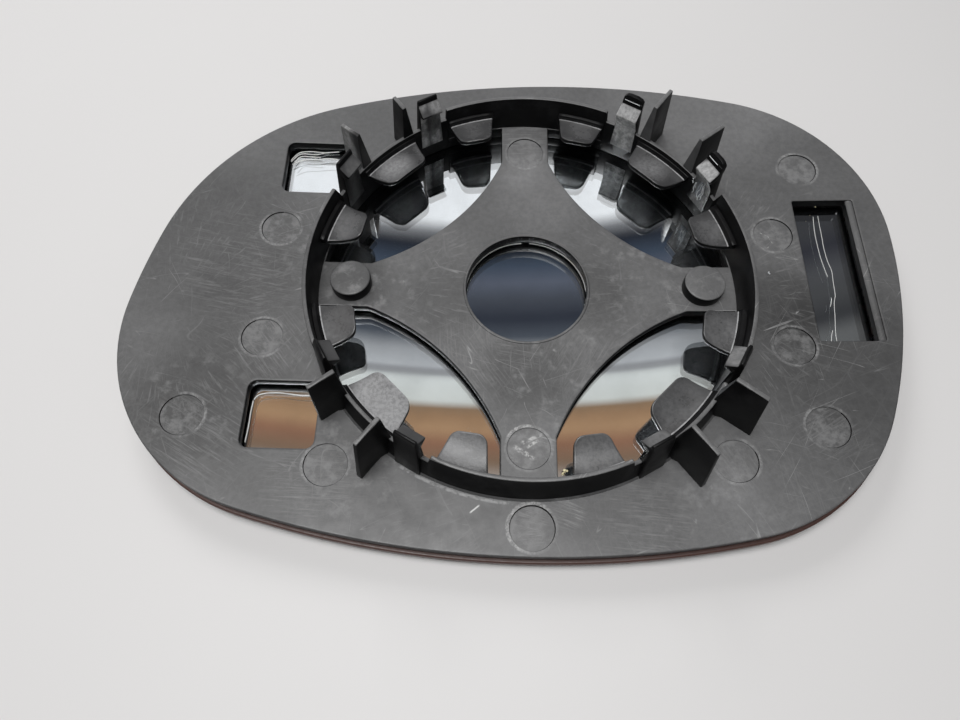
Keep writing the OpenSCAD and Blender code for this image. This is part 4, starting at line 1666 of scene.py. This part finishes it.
@dataclass(frozen=True)
class Studio:
    """Pale floor, soft lights and the camera."""

    eye: tuple[float, float, float] = (-8.167, -71.14, 119.66)
    yaw: float = 0.969
    pitch: float = 65.349
    lens: float = 25.77
    floor_z: float = -4.75
    ambient: tuple[float, float, float] = (0.13, 0.13, 0.132)
    silver: float = 0.82
    ROOM = (
        (0.00, 52, 52, 54), (0.07, 120, 120, 120), (0.12, 222, 222, 222), (0.26, 222, 220, 218), (0.33, 120, 100, 84), (0.350, 135, 100, 81), (0.365, 160, 128, 99),
        (0.378, 146, 116, 90), (0.389, 128, 106, 86), (0.392, 196, 197, 192), (0.417, 200, 202, 199), (0.421, 140, 140, 141),
        (0.4265, 138, 138, 140), (0.429, 170, 171, 173), (0.446, 146, 147, 149), (0.460, 74, 78, 85), (0.478, 50, 53, 61),
        (0.497, 70, 73, 80), (0.512, 86, 90, 101), (0.528, 62, 70, 82), (0.545, 40, 42, 48), (0.556, 120, 120, 122),
        (0.566, 230, 230, 231), (0.62, 230, 230, 231), (0.80, 205, 205, 207), (1.00, 205, 205, 207))
    SIDE = (
        (0.00, 40, 40, 42), (0.12, 90, 90, 90), (0.42, 92, 92, 92), (0.435, 56, 56, 58), (0.455, 70, 70, 71), (0.475, 73, 73, 75), (0.495, 52, 52, 57),
        (0.51, 60, 60, 62), (1.00, 100, 100, 102))

    def floor(self) -> None:
        """Lays the floor."""
        mesh = bmesh.new()
        bmesh.ops.create_grid(mesh, x_segments=1, y_segments=1, size=1500)
        bmesh.ops.translate(mesh, verts=mesh.verts, vec=(0, 0, self.floor_z))
        ground = to_object("floor", mesh)
        kit = Kit("floor_paint")
        kit.put(kit.mix(kit.noise(6, 3.0), (0.66, 0.65, 0.645, 1), (0.70, 0.69, 0.685, 1)), kit.shader.inputs["Base Color"])
        kit.shader.inputs["Roughness"].default_value = 0.55
        ground.data.materials.append(kit.mat)

    def lamp(self, name: str, at: tuple[float, float, float], size: float, watts: float, mirrored: bool) -> None:
        """Hangs a soft square lamp that points at the part.

        Args:
            name: Name of the lamp.
            at: Its place, in mm.
            size: Its side, in mm.
            watts: Its power.
            mirrored: True if shiny surfaces show it.
        """
        data = bpy.data.lights.new(name, "AREA")
        data.energy = watts
        data.size = size * MM
        lamp = bpy.data.objects.new(name, data)
        lamp.location = Vector(at) * MM
        lamp.rotation_euler = (-Vector(at)).to_track_quat("-Z", "Y").to_euler()
        lamp.visible_glossy = mirrored
        lamp.visible_transmission = mirrored
        bpy.context.scene.collection.objects.link(lamp)

    def world(self) -> None:
        """Fills the world with soft light, and with the bands of a room for what reflects it."""
        world = bpy.data.worlds.new("studio")
        bpy.context.scene.world = world
        world.use_nodes = True
        tree = world.node_tree
        coords = tree.nodes.new("ShaderNodeTexCoord")
        split = tree.nodes.new("ShaderNodeSeparateXYZ")
        room = self.bands(tree, self.ROOM)
        side = self.bands(tree, self.SIDE)
        blend = tree.nodes.new("ShaderNodeMapRange")
        blend.inputs["From Min"].default_value = 0.22
        blend.inputs["From Max"].default_value = 0.33
        both = tree.nodes.new("ShaderNodeMix")
        both.data_type = "RGBA"
        shown = tree.nodes.new("ShaderNodeMix")
        shown.data_type = "RGBA"
        shown.inputs[6].default_value = (*self.ambient, 1)
        path = tree.nodes.new("ShaderNodeLightPath")
        link(tree, coords.outputs["Generated"], split.inputs[0])
        link(tree, split.outputs["Y"], room.inputs["Fac"])
        link(tree, split.outputs["Y"], side.inputs["Fac"])
        link(tree, split.outputs["X"], blend.inputs["Value"])
        link(tree, blend.outputs[0], both.inputs[0])
        link(tree, room.outputs["Color"], both.inputs[6])
        link(tree, side.outputs["Color"], both.inputs[7])
        link(tree, path.outputs["Is Glossy Ray"], shown.inputs[0])
        link(tree, both.outputs[2], shown.inputs[7])
        link(tree, shown.outputs[2], tree.nodes["Background"].inputs["Color"])

    def bands(self, tree: bpy.types.NodeTree, stops: Sequence[tuple[float, float, float, float]]) -> bpy.types.Node:
        """Adds a colour ramp.

        Args:
            tree: The world's nodes.
            stops: Position and colour of each stop, the colour as seen in the mirror.

        Returns:
            The ramp's node.
        """
        ramp = tree.nodes.new("ShaderNodeValToRGB")
        line = ramp.color_ramp
        while len(line.elements) < len(stops):
            line.elements.new(1.0)
        for element, (at, *shade) in zip(line.elements, stops):
            element.position = at
            element.color = (*(min(1.0, (c / 255) ** 2.2 / self.silver) for c in shade), 1)
        return ramp

    def camera(self) -> None:
        """Sets the camera where the photo was taken from."""
        data = bpy.data.cameras.new("camera")
        data.lens = self.lens
        data.sensor_width = 36
        data.clip_start = 0.005
        cam = bpy.data.objects.new("camera", data)
        cam.location = Vector(self.eye) * MM
        cam.rotation_euler = (math.radians(90 - self.pitch), 0, math.radians(self.yaw))
        bpy.context.scene.collection.objects.link(cam)
        bpy.context.scene.camera = cam

    def build(self) -> None:
        """Sets up the whole studio."""
        self.floor()
        self.lamp("key", (-70, -45, 620), 300, 3.1, mirrored=True)
        self.lamp("far", (-220, 560, 460), 300, 2.0, mirrored=False)
        self.world()
        self.camera()
        bpy.context.scene.view_settings.view_transform = "Standard"


# The whole part


# Pale places on the tabs: wear on the near tabs, and a painted highlight in the middle of the two far corner tabs.
TAB_WEAR_AND_HIGHLIGHTS = (
    ((-27.6, 26.2), 1.0, 4.5, 0.5), ((25.5, 26.5), 1.0, 4.5, 0.42), ((-26.0, -27.2), 4.5, 4.0, 0.8), ((26.7, -26.7), 3.0, 4.0, 0.14),
    ((-11.7, -36.0), 3.0, 2.5, 0.34), ((11.7, -36.0), 3.0, 2.5, 0.22), ((-36.0, -11.7), 2.0, 3.0, 0.14), ((36.0, -11.7), 2.0, 3.0, 0.2),
    ((-36.5, 11.0), 1.5, 3.0, 0.2), ((36.5, 11.0), 1.5, 3.0, 0.18), ((-11.7, 37.0), 1.0, 3.0, 0.12), ((11.7, 37.0), 1.0, 3.0, 0.12))
# Pale places on the hook ramps: partly wear, partly a painted highlight where the far hooks' ramps catch the light.
HOOK_WEAR_AND_HIGHLIGHTS = (
    ((20.9, 35.0), 2.6, 1.0, 0.85), ((34.6, 19.6), 2.1, 0.8, 0.85), ((-19.2, 36.3), 0.7, 1.6, 0.45), ((-22.3, 35.6), 0.6, 1.2, 0.4),
    ((-34.6, 19.8), 1.2, 1.0, 0.12), ((36.0, -20.6), 1.6, 1.2, 0.3), ((20.7, -36.0), 1.6, 1.2, 0.16), ((-37.2, 28.1), 1.8, 1.8, 0.35))


FACE_WEAR = (
    ((20.9, 35.0), 2.6, 1.0, 1.0), ((34.6, 19.6), 2.1, 0.8, 0.6), ((-19.2, 36.3), 0.9, 1.6, 0.5), ((-22.3, 35.6), 0.7, 1.0, 0.6),
    ((-34.6, 19.8), 1.2, 1.0, 0.08), ((36.0, -20.6), 1.6, 1.2, 0.2), ((20.7, -36.0), 1.6, 1.2, 0.1), ((-37.2, 28.1), 1.8, 1.8, 0.3))


def paint(part: bpy.types.Object, skins: dict[Skin, bpy.types.Material]) -> None:
    """Gives each face of a part of the holder its look, by the way it faces; faces that don't face up get the
    near-black wall copy, which is painted shade.

    Args:
        part: The part of the holder.
        skins: Material for each look.
    """
    part.data.materials.clear()
    for look in Skin:
        part.data.materials.append(skins[look])
    hook, fin = "hook" in part.name, "fin" in part.name
    tab = "tab" in part.name
    worn = hook or part.name == "fin_143"
    for poly in part.data.polygons:
        up, middle = poly.normal.z, poly.center / MM
        inward = -(poly.normal.x * middle.x + poly.normal.y * middle.y) / max(1.0, math.hypot(middle.x, middle.y))
        look = Skin.WALL
        if hook and middle.z > 13.0:
            look = Skin.WALL
        elif hook and up > 0.3:
            look = Skin.RAMP
        elif fin and worn or hook and inward > 0.7 and math.hypot(middle.x, middle.y) < 41.24:
            look = Skin.FACE
        elif fin and middle.x > 0 and middle.y > 0 and inward > 0.3:
            look = Skin.RAMP
        elif tab and abs(up) > 0.4:
            look = Skin.TAB
        # The split between the top look and the dark wall copy is painted shade: fins change over at a lower slope, so
        # more of their bevels come out light, and the root fillets stay in the dark wall look.
        elif up > (0.3 if fin else 0.55) and "root" not in part.name:
            look = Skin.TOP
        poly.material_index = look.value


def settle(obj: bpy.types.Object, slot: str, *nodes: str) -> None:
    """Makes a finished piece ride on the part.

    Args:
        obj: The piece.
        slot: The record's material slot; not used.
        *nodes: CAD nodes that the piece stands for.
    """
    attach(obj, BODY)
    if nodes:
        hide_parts(*nodes)
    LOG.info("%s: %d faces", obj.name, len(obj.data.polygons))


def main() -> None:
    """Builds the mirror glass and its studio."""
    logging.basicConfig(level=logging.INFO, format="%(name)s: %(message)s")
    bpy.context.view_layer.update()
    bpy.context.scene.view_settings.view_transform = "Standard"

    plastic = HolderPlastic().make()
    array = RingArray(plastic)
    skins = {
        Skin.TOP: plastic,
        # The wall look is a near-black copy of the plate's plastic: painted shade on the faces that don't face up.
        Skin.WALL: Satin("holder_walls", (0.0045, 0.0045, 0.0048), 0.34, 0.02, 0.14).make(),
        Skin.TAB: Rubbed("holder_tabs", (0.045, 0.045, 0.046), 0.24, (0.40, 0.40, 0.405), TAB_WEAR_AND_HIGHLIGHTS, 40.7).make(),
        Skin.RAMP: Rubbed("hook_ramps", (0.06, 0.06, 0.061), 0.34, (0.55, 0.55, 0.55), HOOK_WEAR_AND_HIGHLIGHTS).make(),
        Skin.FACE: Rubbed("hook_faces", (0.012, 0.012, 0.0122), 0.32, (0.85, 0.85, 0.84), FACE_WEAR, stretch=0.6, least=0.3).make(),
    }
    parts = [Plate().make(), *SnapRing(array).make(), *Bosses().make()]
    for part in parts:
        paint(part, skins)
    holder = joined("holder_moulding", parts)
    settle(holder, "holder_plastic", "backing_plate")

    string = Adhesive((0.86, 0.86, 0.84), 0.12, "adhesive_string").make()
    whitened = Satin("whitened_plastic", (0.62, 0.64, 0.65), 0.5).make()
    torn = Rubbed("torn_plastic", (0.07, 0.08, 0.092), 0.4, (0.42, 0.45, 0.48), (((35.4, 20.3), 3.0, 1.0, 0.7),)).make()
    soot = Satin("dark_crumbs", (0.02, 0.018, 0.015), 0.5).make()
    amber = Adhesive((0.80, 0.72, 0.45), 0.2, "adhesive_drop").make()
    bits = Glue().make(Threads(string), Crumbs(amber), Crumbs(soot), Crumbs(whitened)) + Burrs().make(Crumbs(whitened), Threads(whitened), torn)
    settle(joined("glue_and_burrs", bits), "adhesive")

    half = MirrorCoat(silvered=0.55, name="half_silvered").make()
    glass = Glass().make(half, MirrorCoat().make(), GlassEdge().make())
    settle(glass, "mirror_coating", "mirror_glass")

    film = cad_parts["adhesive_film"]
    for slot in film.material_slots:
        slot.link = "OBJECT"
        slot.material = Adhesive((0.035, 0.035, 0.035), 0.25, "adhesive_film").make()

    Studio().build()


if __name__ == "__main__":
    main()
